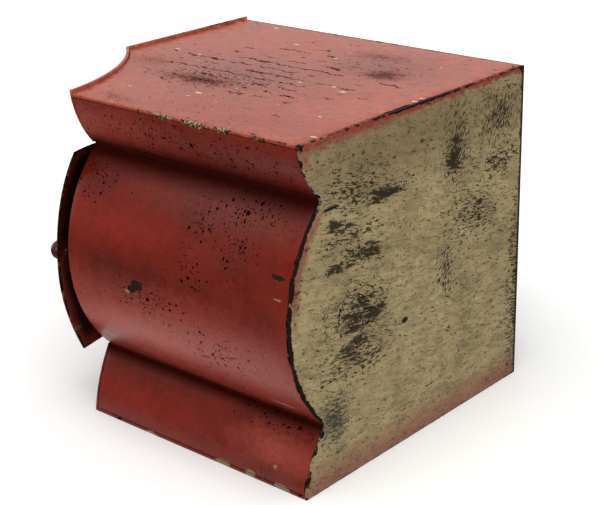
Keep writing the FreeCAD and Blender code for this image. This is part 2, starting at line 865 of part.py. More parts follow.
def wick_spindle():
    """Shaft with the toothed wheel that feeds the wick."""
    line = spindle_line()
    points = []
    for angle in turns(wheel_teeth):
        for turn, radius in ((0, wheel_radius), (math.pi / wheel_teeth, wheel_radius - wheel_tooth)):
            spoke = way(math.cos(angle + turn), math.sin(angle + turn), 0) * radius
            points.append(line + spoke - ACROSS * wheel_width / 2)
    wheel = face(*points).extrude(ACROSS * wheel_width)
    shaft = rod(line, ACROSS, -burner_radius, wick_knob_reach + wick_knob_width, spindle_radius)
    return shaft.fuse(wheel).removeSplitter()


def wick_knob():
    line = spindle_line()
    end = wick_knob_reach + wick_knob_width
    knob = rod(line, ACROSS, wick_knob_reach, end, wick_knob_radius)
    for angle in turns(knob_flutes):
        spot = line + way(math.cos(angle), math.sin(angle), 0) * wick_knob_radius
        knob = knob.cut(rod(spot, ACROSS, wick_knob_reach, end, flute_radius))
    return knob.cut(rod(line, ACROSS, wick_knob_reach, end, spindle_radius + running_fit / 2))


def chimney_gallery():
    """Pierced plate with a ring of prongs that hold the chimney's foot."""
    line = lamp_line()
    plate = pipe(line, UP, gallery_height, gallery_top, gallery_radius, burner_radius - burner_wall)
    for angle in turns(air_holes):
        ring = (dome_radius + chimney_radius - chimney_wall) / 2
        spot = line + way(math.cos(angle), 0, math.sin(angle)) * ring
        plate = plate.cut(rod(spot, UP, gallery_height, gallery_top, air_hole_radius))
    fence = pipe(line, UP, gallery_height, gallery_top + prong_height, gallery_radius, gallery_bore)
    for n in range(prong_count):
        turn = 360.0 * n / prong_count
        slot = block(lamp_depth, lamp_depth + gallery_radius, gallery_height, gallery_top + prong_height,
                     lens_z - prong_width / 2, lens_z + prong_width / 2)
        slot.rotate(line, UP, turn)
        plate = plate.fuse(fence.common(slot))
    return plate.removeSplitter()


def flame_dome():
    """Low dome round the wick tube, slotted for the flame."""
    line = lamp_line()

    def cap(inset):
        radius = dome_radius - inset
        height = dome_height - inset
        middle, lift = dome_middle(radius, height)
        return turned(line, UP, (0, gallery_top), (radius, gallery_top),
                      ((middle, gallery_top + lift), (0, gallery_top + height)))
    dome = cap(0).cut(cap(dome_sheet))
    slot_play = wick_play + wick_tube_wall + dome_slot_play
    return dome.cut(wick_slot(slot_play, gallery_height, wick_top + dome_height))


def chimney_form(wall):
    side = chimney_radius - wall
    neck = chimney_neck - wall
    foot = gallery_top + glass_play
    belly = (side + chimney_bulge, foot + chimney_bulge_height)
    top = foot + chimney_length
    return turned(lamp_line(), UP, (0, foot), (side, foot), (side, foot + chimney_foot),
                  (belly, (neck, foot + chimney_neck_height)), (neck, top), (0, top))


def lamp_chimney():
    return chimney_form(0).cut(chimney_form(chimney_wall))


PIECES = {
    "base_plate": base_plate(),
    "rear_panel": rear_panel(),
    "left_side_wall": side_wall(0),
    "right_side_wall": side_wall(body_width - sheet),
    "lens_wall": lens_wall(),
    "roof_plate": roof_plate(),
    "vent_hood": vent_hood(),
    "hood_knob": hood_knob(),
    "hinge_hood_leaf": hinge_hood_leaf(),
    "hinge_roof_leaf": hinge_roof_leaf(),
    "hinge_pin": hinge_pin(),
    "hinge_hood_rivets": leaf_rivets(hood_rivet_places(), hood_normal(), hood_sheet + arch_drop),
    "hinge_roof_rivets": leaf_rivets(roof_rivet_places(), hinge_roof_normal(), sheet + slope_sag),
    "condenser_cell": condenser_cell(),
    "condenser_lens": condenser_lens(),
    "condenser_ring": condenser_ring(),
    "stage_back_plate": stage_back_plate(),
    "stage_rails": stage_rails(),
    "stage_front_plate": stage_front_plate(),
    "stage_springs": stage_springs(),
    "stage_rivets": stage_rivets(),
    "spring_rivets": spring_rivets(),
    "lens_jacket": lens_jacket(),
    "focus_tube": focus_tube(),
    "objective_lens": objective_lens(),
    "objective_ring": objective_ring(),
    "lens_cap": lens_cap(),
    "reflector": reflector(),
    "reflector_bracket": reflector_bracket(),
    "reflector_rivet": reflector_rivet(),
    "lamp_ring": lamp_ring(),
    "oil_font": oil_font(),
    "filler_cap": filler_cap(),
    "burner_collar": burner_collar(),
    "burner": burner(),
    "wick_tube": wick_tube(),
    "wick": wick(),
    "wick_spindle": wick_spindle(),
    "wick_knob": wick_knob(),
    "chimney_gallery": chimney_gallery(),
    "flame_dome": flame_dome(),
    "lamp_chimney": lamp_chimney(),
}

os.makedirs("parts", exist_ok=True)
for name, shape in PIECES.items():
    shape.exportStep(f"parts/{name}.step")
    print(f"{name}: {len(shape.Solids)} solid(s), {shape.Volume:.1f} cubic mm, valid {shape.isValid()}")
axis = hinge_axis()
print(f"hood hinge axis: {axis.x:.4f} {axis.y:.4f} {axis.z:.4f}")
print(f"spindle axis: {spindle_line().x:.4f} {spindle_line().y:.4f} {spindle_line().z:.4f}")
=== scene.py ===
# %% [markdown]
# # A tin magic lantern, lying on its side
# The lantern was cut, bent and soldered from tinplate and brushed with red oil paint. Its underside was
# left in khaki primer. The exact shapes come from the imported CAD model. This lesson dresses them: it gives
# the sheets soft edges and small dents, paints and wears them, and turns the brass of the lens.

import json
import math

import bmesh
import bpy
from mathutils import Matrix, Vector, kdtree, noise


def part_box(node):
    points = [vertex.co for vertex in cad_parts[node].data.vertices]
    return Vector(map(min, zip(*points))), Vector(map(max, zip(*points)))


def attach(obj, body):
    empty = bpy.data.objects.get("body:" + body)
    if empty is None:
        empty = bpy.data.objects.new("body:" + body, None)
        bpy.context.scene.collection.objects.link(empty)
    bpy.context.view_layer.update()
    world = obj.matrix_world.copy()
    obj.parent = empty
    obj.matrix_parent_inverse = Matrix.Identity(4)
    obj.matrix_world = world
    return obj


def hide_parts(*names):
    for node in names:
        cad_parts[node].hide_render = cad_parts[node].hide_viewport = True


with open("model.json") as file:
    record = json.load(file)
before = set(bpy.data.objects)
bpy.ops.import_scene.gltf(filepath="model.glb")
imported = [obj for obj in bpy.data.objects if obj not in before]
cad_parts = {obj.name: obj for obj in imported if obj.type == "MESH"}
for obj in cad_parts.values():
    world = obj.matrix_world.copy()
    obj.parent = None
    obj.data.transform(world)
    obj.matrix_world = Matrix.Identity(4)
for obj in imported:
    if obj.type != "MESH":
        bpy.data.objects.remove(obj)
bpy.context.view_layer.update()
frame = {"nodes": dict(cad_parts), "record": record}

# %% [markdown]
# ## Camera
# The camera stands where the corners of the box fall on the corners that the photograph shows: a little
# above the lantern, to the right of its rear panel. It could be placed by eye, but angles that were worked
# out let the render be laid over the photograph. The lens follows from the focal length in pixels, on a
# frame 600 pixels wide.

# %% Camera
focal_pixels = 1442.9
frame_width = 600
camera_place = (0.3654, -0.3966, 0.2647)
azimuth, elevation, roll = (math.radians(angle) for angle in (41.52, 21.18, -1.42))
flat_share = math.cos(elevation)
back = Vector((math.sin(azimuth) * flat_share, -math.cos(azimuth) * flat_share, math.sin(elevation)))
right = Vector((0, 0, 1)).cross(back).normalized()
upright = back.cross(right)
camera_data = bpy.data.cameras.new("photo_camera")
camera_data.sensor_fit = "HORIZONTAL"
camera_data.lens = focal_pixels / frame_width * camera_data.sensor_width
camera_data.clip_start = 0.01
camera = bpy.data.objects.new("photo_camera", camera_data)
bpy.context.scene.collection.objects.link(camera)
turn = Matrix.Rotation(roll, 3, back) @ Matrix((right, upright, back)).transposed()
camera.matrix_world = Matrix.Translation(camera_place) @ turn.to_4x4()
bpy.context.scene.camera = camera
print("camera lens in mm:", round(camera_data.lens, 2))

# %% [markdown]
# ## Helpers for the finishes
# Colours are written as sRGB hex values, as a paint chart gives them, and the shader wants them linear. One
# small function adds a node, sets it, links it and hands back the output that is needed, so that each finish
# reads as a list of layers.

# %% Colour, node and material
def tint(code):
    """Linear colour of an sRGB hex value."""
    parts = [int(code[i:i + 2], 16) / 255 for i in (1, 3, 5)]
    return [p / 12.92 if p <= 0.04045 else ((p + 0.055) / 1.055) ** 2.4 for p in parts] + [1.0]


def add(tree, kind, inputs, out=0, stops=(), **settings):
    """Add a shader node and give back one output. Inputs are values or outputs, stops a colour ramp's."""
    made = tree.nodes.new("ShaderNode" + kind)
    for key, value in settings.items():
        setattr(made, key, value)
    for key, value in inputs.items():
        if isinstance(value, bpy.types.NodeSocket):
            tree.links.new(value, made.inputs[key])
        else:
            made.inputs[key].default_value = value
    for place, (position, code) in enumerate(stops):
        spots = made.color_ramp.elements
        spot = spots[place] if place < len(spots) else spots.new(position)
        spot.position = position
        spot.color = tint(code)
    return made.outputs[out]


def finish_named(name, **sockets):
    """A new material with its shader's fixed numbers, its node tree, and object coordinates in mm."""
    material = bpy.data.materials.new(name)
    material.use_nodes = True
    tree = material.node_tree
    shader = tree.nodes["Principled BSDF"]
    for key, value in sockets.items():
        shader.inputs[key.replace("_", " ")].default_value = value
    place = add(tree, "TexCoord", {}, out="Object")
    mm = add(tree, "Mapping", {"Vector": place, "Scale": (1000, 1000, 1000)})
    return material, tree, shader, mm


print("helpers ready")

# %% [markdown]
# ## Three patterns of wear
# Old paint wears in patches, in flecks and in layers. A patch is a soft ellipsoid at a place measured on the
# lantern. Flecks lie one to a cell of a Voronoi pattern, each as large as chance and crowding make it, so
# they stay separate, as real chips do. Layers are laid one over another, each through its own mask.

# %% Patches, flecks and layers
def patch(tree, where, spots):
    """The strongest of soft ellipsoids, each a centre and a size in mm: 1 in the middle, 0 at the size."""
    strongest = None
    for centre, size in spots:
        scale = [1 / s for s in size]
        moved = add(tree, "Mapping", {"Vector": where, "Location": [-c * k for c, k in zip(centre, scale)],
                                      "Scale": scale})
        soft = add(tree, "TexGradient", {"Vector": moved}, out="Fac", gradient_type="SPHERICAL")
        if strongest:
            soft = add(tree, "Math", {0: soft, 1: strongest}, operation="MAXIMUM")
        strongest = soft
    return strongest


def flecks(tree, where, spacing, crowding, rarity, widest):
    """Spots where chance plus half the crowding passes rarity, with spacing and widest radius in mm."""
    cell = add(tree, "TexVoronoi", {"Vector": where, "Scale": 1 / spacing}).node
    chance = add(tree, "SeparateColor", {0: cell.outputs["Color"]})
    chance = add(tree, "Math", {0: crowding, 1: 0.5, 2: chance}, operation="MULTIPLY_ADD")
    radius = add(tree, "MapRange", {0: chance, 1: rarity, 2: rarity + 0.4, 3: -0.05, 4: widest / spacing})
    inside = add(tree, "Math", {0: radius, 1: cell.outputs["Distance"]}, operation="SUBTRACT")
    return add(tree, "MapRange", {0: inside, 1: -0.02, 2: 0.04})


def layered(tree, colour, layers):
    """Lay one colour over another, each through its mask."""
    for mask, over in layers:
        over = tint(over) if isinstance(over, str) else over
        colour = add(tree, "Mix", {0: mask, 6: colour, 7: over}, out=2, data_type="RGBA")
    return colour


print("patterns ready")

# %% [markdown]
# ## Old red oil paint on tinplate
# Brushed oil paint dries to a semi-gloss skin. With age it has gone brick red and uneven. The two necks
# beside the bow are darkened, partly by grime settled there and partly by painted shade in the creases. The
# face that lies uppermost is lighter and pinker, partly faded paint and partly painted sheen, and pinker
# patches on the bow and its shoulders are painted sheen, standing in for reflections of the pale floor and
# room. Noise from 5 to 30 mm wide gives the film its clouds, and one of under a millimetre its grain. A
# picture could be stretched over the tin instead, but patterns in layers stay sharp close up, and their sizes
# are real millimetres.

# %% Red paint: clouds in the film
red, tree, shader, mm = finish_named("aged red oil paint on tinplate", IOR=1.42)
broad = add(tree, "TexNoise", {"Vector": mm, "Scale": 1 / 30, "Detail": 4, "Roughness": 0.55})
fine = add(tree, "TexNoise", {"Vector": mm, "Scale": 1 / 5, "Detail": 6, "Roughness": 0.65}).node
grain = add(tree, "TexNoise", {"Vector": mm, "Scale": 1 / 0.9, "Detail": 4, "Roughness": 0.65}).node
stray = add(tree, "VectorMath", {0: fine.outputs["Color"], 1: (0.5, 0.5, 0.5)}, operation="SUBTRACT")
stirred = add(tree, "VectorMath", {0: stray, 1: (9, 9, 9), 2: mm}, operation="MULTIPLY_ADD")
film = add(tree, "ValToRGB", {0: broad}, stops=((0.34, "#5c1509"), (0.5, "#6c1808"), (0.66, "#791e0a")))
warm = patch(tree, stirred, (((-18, -68, 84), (46, 26, 15)), ((-20, -60, 10), (60, 26, 14))))
# painted sheen: lighter, pinker patches on the lower bow and the shoulders stand in for reflections of the
# pale floor and room
painted_sheen = patch(tree, stirred, (((-10, -70, 44), (170, 28, 26)), ((-46, -68, 50), (44, 30, 17)),
                             ((-50, -56, 120), (80, 24, 13)), ((56, -58, 12), (30, 16, 9))))
brown = patch(tree, stirred, (((40, -62, 100), (60, 20, 11)), ((40, -50, 120), (70, 20, 12))))
print("clouded film of", len(tree.nodes), "nodes")

# %% Red paint: faded upper face with painted sheen, neck grime with painted shade, and grain
upper_face = 130
height = add(tree, "SeparateXYZ", {0: mm}, out=2)
# the upper face is painted lighter and pinker: partly faded paint, partly painted sheen
top_fade_and_sheen = add(tree, "MapRange", {0: height, 1: upper_face - 1.4, 2: upper_face - 0.4})
chalk_and_sheen = add(tree, "ValToRGB", {0: fine.outputs["Fac"]},
            stops=((0.34, "#99422d"), (0.5, "#aa4f38"), (0.66, "#b55b43")))
dusky = patch(tree, stirred, (((-6, -8, 130), (64, 40, 14)), ((30, 30, 130), (40, 30, 14))))
along = add(tree, "Mapping", {"Vector": stirred, "Scale": (6, 1, 1)}, vector_type="TEXTURE")
drag = add(tree, "TexNoise", {"Vector": along, "Scale": 1 / 0.8, "Detail": 6, "Roughness": 0.8})
dusky = add(tree, "Math", {0: dusky, 1: drag}, operation="MULTIPLY")
front = patch(tree, stirred, (((30, -52, 132), (74, 30, 6)),))
# the two necks are darkened: partly grime, partly painted shade in the creases
neck_grime_and_shade = patch(tree, mm, (((0, -54.5, 107), (900, 12, 9)), ((0, -54.5, 24), (900, 6, 4.6))))
neck_grime_and_shade = add(tree, "Math", {0: broad, 1: 0.3, 2: neck_grime_and_shade}, operation="MULTIPLY_ADD")
neck_grime_and_shade = add(tree, "MapRange", {0: neck_grime_and_shade, 1: 0.18, 2: 1.0, 3: 0.0, 4: 0.9})
paint = layered(tree, film, ((warm, "#861b05"), (painted_sheen, "#a8493c"), (brown, "#74342b"), (top_fade_and_sheen, chalk_and_sheen),
                             (front, "#93341f"), (dusky, "#4a251c"), (neck_grime_and_shade, "#2b0d08")))
for pattern, darkest, lightest in ((fine, 0.88, 1.06), (grain, 0.74, 1.16)):
    shade = add(tree, "MapRange", {0: pattern.outputs["Fac"], 1: 0.32, 2: 0.68, 3: darkest, 4: lightest})
    paint = add(tree, "Mix", {0: 1.0, 6: paint, 7: shade}, out=2, data_type="RGBA", blend_type="MULTIPLY")
print("faded film, now", len(tree.nodes), "nodes")

# %% [markdown]
# The upper face carries dark smudges, two strong and three faint, and short cracks that run along the
# lantern's height, which is X here. The crests of a distorted wave draw the cracks, and noise breaks them up.
# The smudges are a noise stretched six times along X.

# %% Red paint: smudges and cracks
smudge_places = patch(tree, stirred, (((-14, -23, 130), (30, 9, 14)), ((39, 22, 130), (14, 11, 14))))
faint_places = patch(tree, stirred, (
    ((-20, -60, 130), (20, 8, 14)), ((20, 44, 130), (22, 9, 14)), ((-52, -12, 130), (20, 12, 14))))
smudge_places = add(tree, "Math", {0: faint_places, 1: 0.6, 2: smudge_places}, operation="MULTIPLY_ADD")
smudge = add(tree, "Math", {0: smudge_places, 1: 0.26, 2: drag}, operation="MULTIPLY_ADD")
smudge = add(tree, "MapRange", {0: smudge, 1: 0.59, 2: 0.7, 3: 0.0, 4: 0.7})
lines = add(tree, "TexWave", {"Vector": stirred, "Scale": 0.046, "Distortion": 16, "Detail": 4,
                              "Detail Scale": 0.022}, out="Fac", bands_direction="Y")
crack_places = patch(tree, mm, (((2, 4, 130), (66, 52, 14)),))
cracks = add(tree, "TexNoise", {"Vector": stirred, "Scale": 1 / 8, "Detail": 4})
cracks = add(tree, "Math", {0: crack_places, 1: 0.3, 2: cracks}, operation="MULTIPLY_ADD")
cracks = add(tree, "MapRange", {0: cracks, 1: 0.62, 2: 0.74, 3: 0.0, 4: 0.052})
cracks = add(tree, "Math", {0: lines, 1: cracks}, operation="ADD")
cracks = add(tree, "MapRange", {0: cracks, 1: 1.0, 2: 1.02})
cracks = add(tree, "Math", {0: cracks, 1: top_fade_and_sheen}, operation="MULTIPLY")
paint = layered(tree, paint, ((smudge, "#1c1310"), (cracks, "#4d170c")))
print("smudges and cracks, now", len(tree.nodes), "nodes")

# %% [markdown]
# Where damp got under it, the paint has come off in black pits. They crowd on the swell of the bow and in a
# few places beside it, and are rarer elsewhere. One large chip and one thin one show dark tin. Cream flecks,
# pale scratches and flakes along the lower edge show the primer that lies under the red.

# %% Red paint: pits
crowded = patch(tree, stirred, (
    ((28, -66, 91), (15, 26, 16)), ((45, -66, 88), (16, 26, 14)), ((26, -70, 74), (12, 26, 16)),
    ((6, -72, 61), (26, 26, 13)), ((-33, -64, 97), (20, 26, 10)), ((48, -60, 101), (26, 26, 9)),
    ((36, -66, 48), (30, 26, 12)), ((20, -57, 120), (84, 26, 13)), ((54, -58, 23), (28, 20, 8)),
    ((-10, -20, 130), (40, 20, 14))))
crumbs = add(tree, "VectorMath", {0: grain.outputs["Color"], 1: (0.5, 0.5, 0.5)}, operation="SUBTRACT")
jagged = add(tree, "VectorMath", {0: stray, 1: (2.4, 2.4, 2.4), 2: mm}, operation="MULTIPLY_ADD")
jagged = add(tree, "VectorMath", {0: crumbs, 1: (1.3, 1.3, 1.3), 2: jagged}, operation="MULTIPLY_ADD")
dust = flecks(tree, jagged, 0.9, crowded, 0.78, 0.34)
small_pits = flecks(tree, jagged, 1.7, crowded, 0.76, 0.58)
large_pits = flecks(tree, jagged, 4.2, crowded, 0.98, 1.3)
pits = add(tree, "Math", {0: small_pits, 1: large_pits}, operation="MAXIMUM")
pits = add(tree, "Math", {0: pits, 1: dust}, operation="MAXIMUM")
print("pits, now", len(tree.nodes), "nodes")

# %% Red paint: chips, flakes and flecks
chip = patch(tree, jagged, (((-1.5, -72.3, 65), (3.6, 8, 2.4)), ((-4.5, -72.3, 62.8), (2.6, 8, 1.7)),
                            ((66, -69, 84), (3.4, 8, 1.0))))
chip = add(tree, "MapRange", {0: chip, 1: 0.1, 2: 0.2})
pale = patch(tree, jagged, (((-7, -72.3, 61.4), (2.2, 8, 0.9)), ((67, -70, 77), (2.4, 8, 0.5)),
                            ((58, -60, 31), (9, 9, 0.8)), ((-46, -62, 33), (12, 9, 0.8)),
                            ((-30, -63, 34), (9, 9, 0.6))))
pale = add(tree, "MapRange", {0: pale, 1: 0.1, 2: 0.5, 3: 0.0, 4: 0.8})
flaked = patch(tree, jagged, (((-6, -66, 0.4), (3.6, 8, 1.1)), ((32, -66, 0.8), (4.4, 8, 1.5)),
                              ((46, -66, 1), (2.6, 8, 2)), ((61, -66, 0.8), (4.4, 8, 1.7)),
                              ((57, -66, 7), (1.1, 8, 1))))
flaked = add(tree, "MapRange", {0: flaked, 1: 0.12, 2: 0.2, 3: 0.0, 4: 0.85})
lain = add(tree, "Mapping", {"Vector": jagged, "Scale": (2.2, 1, 1)}, vector_type="TEXTURE")
scraped = patch(tree, mm, (((-36, -60, 31), (46, 14, 7)), ((-20, -66, 0), (70, 8, 6)),
                           ((66, -66, 88), (9, 10, 14))))
scraped = add(tree, "Math", {0: scraped, 1: top_fade_and_sheen}, operation="MAXIMUM")
cream = flecks(tree, lain, 3.2, scraped, 1.3, 1.8)
speckled = patch(tree, stirred, (((-6, -12, 130), (74, 46, 14)), ((30, 30, 130), (44, 30, 14))))
specks = flecks(tree, lain, 1.2, speckled, 0.9, 0.42)
paint = layered(tree, paint, ((specks, "#4f1d14"), (pits, "#0f0807"), (chip, "#2b1d19"), (pale, "#8f7263"),
                             (flaked, "#857557"), (cream, "#d2c1a6")))
pits = add(tree, "Math", {0: pits, 1: chip}, operation="MAXIMUM")
print("chips, flakes and flecks, now", len(tree.nodes), "nodes")

# %% [markdown]
# Along the edges the red has rubbed through. The sheets of the case carry an attribute, the distance to the
# nearest edge in millimetres, which is given to them further on. A ragged noise makes the rubbed line come
# and go, and it is wider in three places. What shows is black iron, and cream primer along the upper edge
# and on the roof's edges. Where the paint is lost, dirty or cracked it is duller, and lost paint lies lower.

# %% Red paint: rubbed edges
edge = add(tree, "Attribute", {}, out="Fac", attribute_name="edge_mm")
ragged = add(tree, "TexNoise", {"Vector": mm, "Scale": 1 / 9, "Detail": 8, "Roughness": 0.78})
rubbed_places = patch(tree, mm, (((34, -66, 130), (62, 8, 8)), ((73, -10, 130), (5, 30, 5)),
                                 ((73, -68, 64), (8, 14, 44))))
reach = add(tree, "MapRange", {0: ragged, 1: 0.35, 2: 0.65, 3: -0.9, 4: 0.6})
reach = add(tree, "Math", {0: rubbed_places, 1: 0.7, 2: reach}, operation="MULTIPLY_ADD")
rubbed = add(tree, "Math", {0: reach, 1: edge}, operation="SUBTRACT")
rubbed = add(tree, "MapRange", {0: rubbed, 1: 0.0, 2: 0.12})
primed = patch(tree, mm, (((24, -66, 130), (70, 6, 6)), ((-73, -4, 130), (8, 12, 8)),
                          ((-70, -20, 80), (12, 30, 40))))
bare = add(tree, "Math", {0: primed, 1: 0.24, 2: grain.outputs["Fac"]}, operation="MULTIPLY_ADD")
bare = add(tree, "ValToRGB", {0: bare}, stops=((0.5, "#130e0c"), (0.66, "#33261f"), (0.74, "#a8946f")))
paint = layered(tree, paint, ((rubbed, bare),))
tree.links.new(paint, shader.inputs["Base Color"])
print("rubbed edges, now", len(tree.nodes), "nodes")

# %% Red paint: gloss and relief
lost = add(tree, "Math", {0: pits, 1: rubbed}, operation="MAXIMUM")
gloss = add(tree, "MapRange", {0: fine.outputs["Fac"], 1: 0.3, 2: 0.7, 3: 0.25, 4: 0.4})
dull = add(tree, "Math", {0: lost, 1: neck_grime_and_shade}, operation="MAXIMUM")
dull = add(tree, "Math", {0: dull, 1: smudge}, operation="MAXIMUM")
dull = add(tree, "Math", {0: dull, 1: cracks}, operation="MAXIMUM")
dull = add(tree, "Math", {0: dull, 1: specks}, operation="MAXIMUM")
gloss = add(tree, "Math", {0: dull, 1: 0.35, 2: gloss}, operation="MULTIPLY_ADD")
tree.links.new(gloss, shader.inputs["Roughness"])
sheen = add(tree, "MapRange", {0: dull, 1: 0.0, 2: 0.8, 3: 0.5, 4: 0.0})
tree.links.new(sheen, shader.inputs["Specular IOR Level"])
relief = add(tree, "Math", {0: grain.outputs["Fac"], 1: 0.5, 2: fine.outputs["Fac"]},
             operation="MULTIPLY_ADD")
relief = add(tree, "Math", {0: relief, 1: lost}, operation="SUBTRACT")
relief = add(tree, "Math", {0: relief, 1: cracks}, operation="SUBTRACT")
bumps = add(tree, "Bump", {"Height": relief, "Distance": 0.00012, "Strength": 0.7})
tree.links.new(bumps, shader.inputs["Normal"])
print("red paint of", len(tree.nodes), "nodes")

# %% [markdown]
# ## Khaki primer on the underside
# The underside never got its red coat. It is matt khaki primer, brushed along the lantern's depth, so its
# streaks are noise stretched nearly along Y. Black scuffs lie where it stood, at places measured on the
# photograph. Most run with the streaks, and three groups cross them. They could be drawn one by one, but
# noise gives hundreds of fine marks with no two alike. The red brush has run over the edges, and along the
# rim the primer has worn to black iron or to bare, greyed tin.

# %% Khaki primer: streaks
khaki, tree, shader, mm = finish_named("scuffed khaki primer on tinplate", IOR=1.45)
cloud = add(tree, "TexNoise", {"Vector": mm, "Scale": 1 / 18, "Detail": 6, "Roughness": 0.62}).node
stray = add(tree, "VectorMath", {0: cloud.outputs["Color"], 1: (0.5, 0.5, 0.5)}, operation="SUBTRACT")
stirred = add(tree, "VectorMath", {0: stray, 1: (6, 6, 6), 2: mm}, operation="MULTIPLY_ADD")
brushed, crossing = (-0.17, 0, 0), (0.95, 0, 0)
along = add(tree, "Mapping", {"Vector": stirred, "Rotation": brushed, "Scale": (1, 5, 1)},
            vector_type="TEXTURE")
across = add(tree, "Mapping", {"Vector": stirred, "Rotation": crossing, "Scale": (1, 3.5, 1)},
             vector_type="TEXTURE")
streaks = add(tree, "TexNoise", {"Vector": along, "Scale": 1 / 1.8, "Detail": 7, "Roughness": 0.72})
streaks = add(tree, "Math", {0: streaks, 1: 0.6}, operation="MULTIPLY")
streaks = add(tree, "Math", {0: cloud.outputs["Fac"], 1: 0.4, 2: streaks}, operation="MULTIPLY_ADD")
primer = add(tree, "ValToRGB", {0: streaks}, stops=((0.36, "#78694a"), (0.5, "#9c8960"), (0.64, "#b3a177")))
print("streaked primer of", len(tree.nodes), "nodes")

# %% Khaki primer: scuffs
dragged = patch(tree, stirred, (
    ((73, -20, 103), (20, 24, 6)), ((73, -40, 92), (20, 26, 6)), ((73, -34, 64), (20, 24, 13)),
    ((73, -38, 108), (20, 26, 14)), ((73, -36, 84), (20, 22, 8)), ((73, 34, 80), (20, 28, 16)),
    ((73, -38, 45), (20, 30, 13)), ((73, 63, 40), (20, 8, 60)), ((73, 50, 96), (20, 24, 10))))
crossed = patch(tree, stirred, (((73, 22, 110), (20, 13, 26)), ((73, 50, 114), (20, 24, 18)),
                                ((73, 16, 62), (20, 9, 18))))
marks = add(tree, "TexNoise", {"Vector": along, "Scale": 1 / 0.6, "Detail": 4, "Roughness": 0.65})
strokes = add(tree, "TexNoise", {"Vector": across, "Scale": 1 / 0.6, "Detail": 4, "Roughness": 0.65})
scuffs = add(tree, "Math", {0: dragged, 1: 0.17, 2: marks}, operation="MULTIPLY_ADD")
hatched = add(tree, "Math", {0: crossed, 1: 0.17, 2: strokes}, operation="MULTIPLY_ADD")
scuffs = add(tree, "Math", {0: scuffs, 1: hatched}, operation="MAXIMUM")
bold_places = patch(tree, stirred, (
    ((73, -21, 102), (20, 17, 4)), ((73, -46, 97), (20, 15, 4)), ((73, -30, 83), (20, 18, 5)),
    ((73, -45, 82), (20, 13, 4)), ((73, -34, 60), (20, 22, 7)), ((73, -38, 50), (20, 18, 5)),
    ((73, 20, 104), (20, 9, 14))))
bold = add(tree, "TexNoise", {"Vector": along, "Scale": 1 / 1.5, "Detail": 6, "Roughness": 0.72})
bold = add(tree, "Math", {0: bold_places, 1: 0.24, 2: bold}, operation="MULTIPLY_ADD")
scuffs = add(tree, "Math", {0: scuffs, 1: bold}, operation="MAXIMUM")
scuffs = add(tree, "MapRange", {0: scuffs, 1: 0.62, 2: 0.66, 3: 0.0, 4: 0.92})
print("scuffs, now", len(tree.nodes), "nodes")

# %% Khaki primer: splits, black marks and specks
split = add(tree, "Mapping", {"Vector": stirred, "Rotation": brushed, "Scale": (1, 1.7, 1)},
            vector_type="TEXTURE")
split = add(tree, "TexVoronoi", {"Vector": split, "Scale": 1 / 3.4}, feature="DISTANCE_TO_EDGE")
split = add(tree, "Math", {0: cloud.outputs["Fac"], 1: 0.2, 2: split}, operation="MULTIPLY_ADD")
split = add(tree, "MapRange", {0: split, 1: 0.1, 2: 0.14, 3: 0.9, 4: 0.0})
split_place = patch(tree, stirred, (((73, -36, 62), (20, 30, 18)),))
split = add(tree, "Math", {0: split, 1: split_place}, operation="MULTIPLY")
split = add(tree, "MapRange", {0: split, 1: 0.15, 2: 0.35})
scuffs = add(tree, "Math", {0: scuffs, 1: split}, operation="MAXIMUM")
black_mark = patch(tree, mm, (((73, -9.2, 49.7), (20, 2.6, 1.6)), ((73, -50, 104.5), (20, 6, 0.9))))
black_mark = add(tree, "MapRange", {0: black_mark, 1: 0.2, 2: 0.4})
specks = flecks(tree, mm, 2.4, dragged, 0.95, 0.5)
print("splits, marks and specks, now", len(tree.nodes), "nodes")

# %% Khaki primer: red overrun
far_edge = 66
edge = add(tree, "Attribute", {}, out="Fac", attribute_name="edge_mm")
ragged = add(tree, "TexNoise", {"Vector": mm, "Scale": 1 / 3, "Detail": 6, "Roughness": 0.72})
wander = add(tree, "MapRange", {0: ragged, 1: 0.3, 2: 0.7, 3: -1.6, 4: 1.6})
height = add(tree, "SeparateXYZ", {0: mm}, out=2)
height = add(tree, "Math", {0: height, 1: wander}, operation="ADD")
depth = add(tree, "SeparateXYZ", {0: mm}, out=1)
depth = add(tree, "Math", {0: wander, 1: 0.5, 2: depth}, operation="MULTIPLY_ADD")
far_line = add(tree, "MapRange", {0: depth, 1: far_edge - 2, 2: far_edge - 1.2, 3: 0.0, 4: 0.92})
browned = patch(tree, stirred, (((73, -10, 122), (20, 90, 26)),))
browned = add(tree, "MapRange", {0: browned, 1: 0.0, 2: 0.7, 3: 0.0, 4: 0.6})
upper_line = add(tree, "MapRange", {0: height, 1: upper_face - 2.8, 2: upper_face - 1.4})
lower_stain = add(tree, "MapRange", {0: height, 1: 3, 2: 13, 3: 0.7, 4: 0.0})
strip = add(tree, "Math", {0: edge, 1: wander}, operation="ADD")
strip = add(tree, "MapRange", {0: strip, 1: 2.6, 2: 4.4, 3: 1.0, 4: 0.0})
bow_stain = patch(tree, mm, (((73, -62, 86), (20, 16, 28)), ((73, -50, 127), (20, 50, 8))))
bow_stain = add(tree, "MapRange", {0: bow_stain, 1: 0.05, 2: 0.4, 3: 0.0, 4: 0.75})
bow_stain = add(tree, "Math", {0: bow_stain, 1: strip}, operation="MULTIPLY")
print("red overrun, now", len(tree.nodes), "nodes")

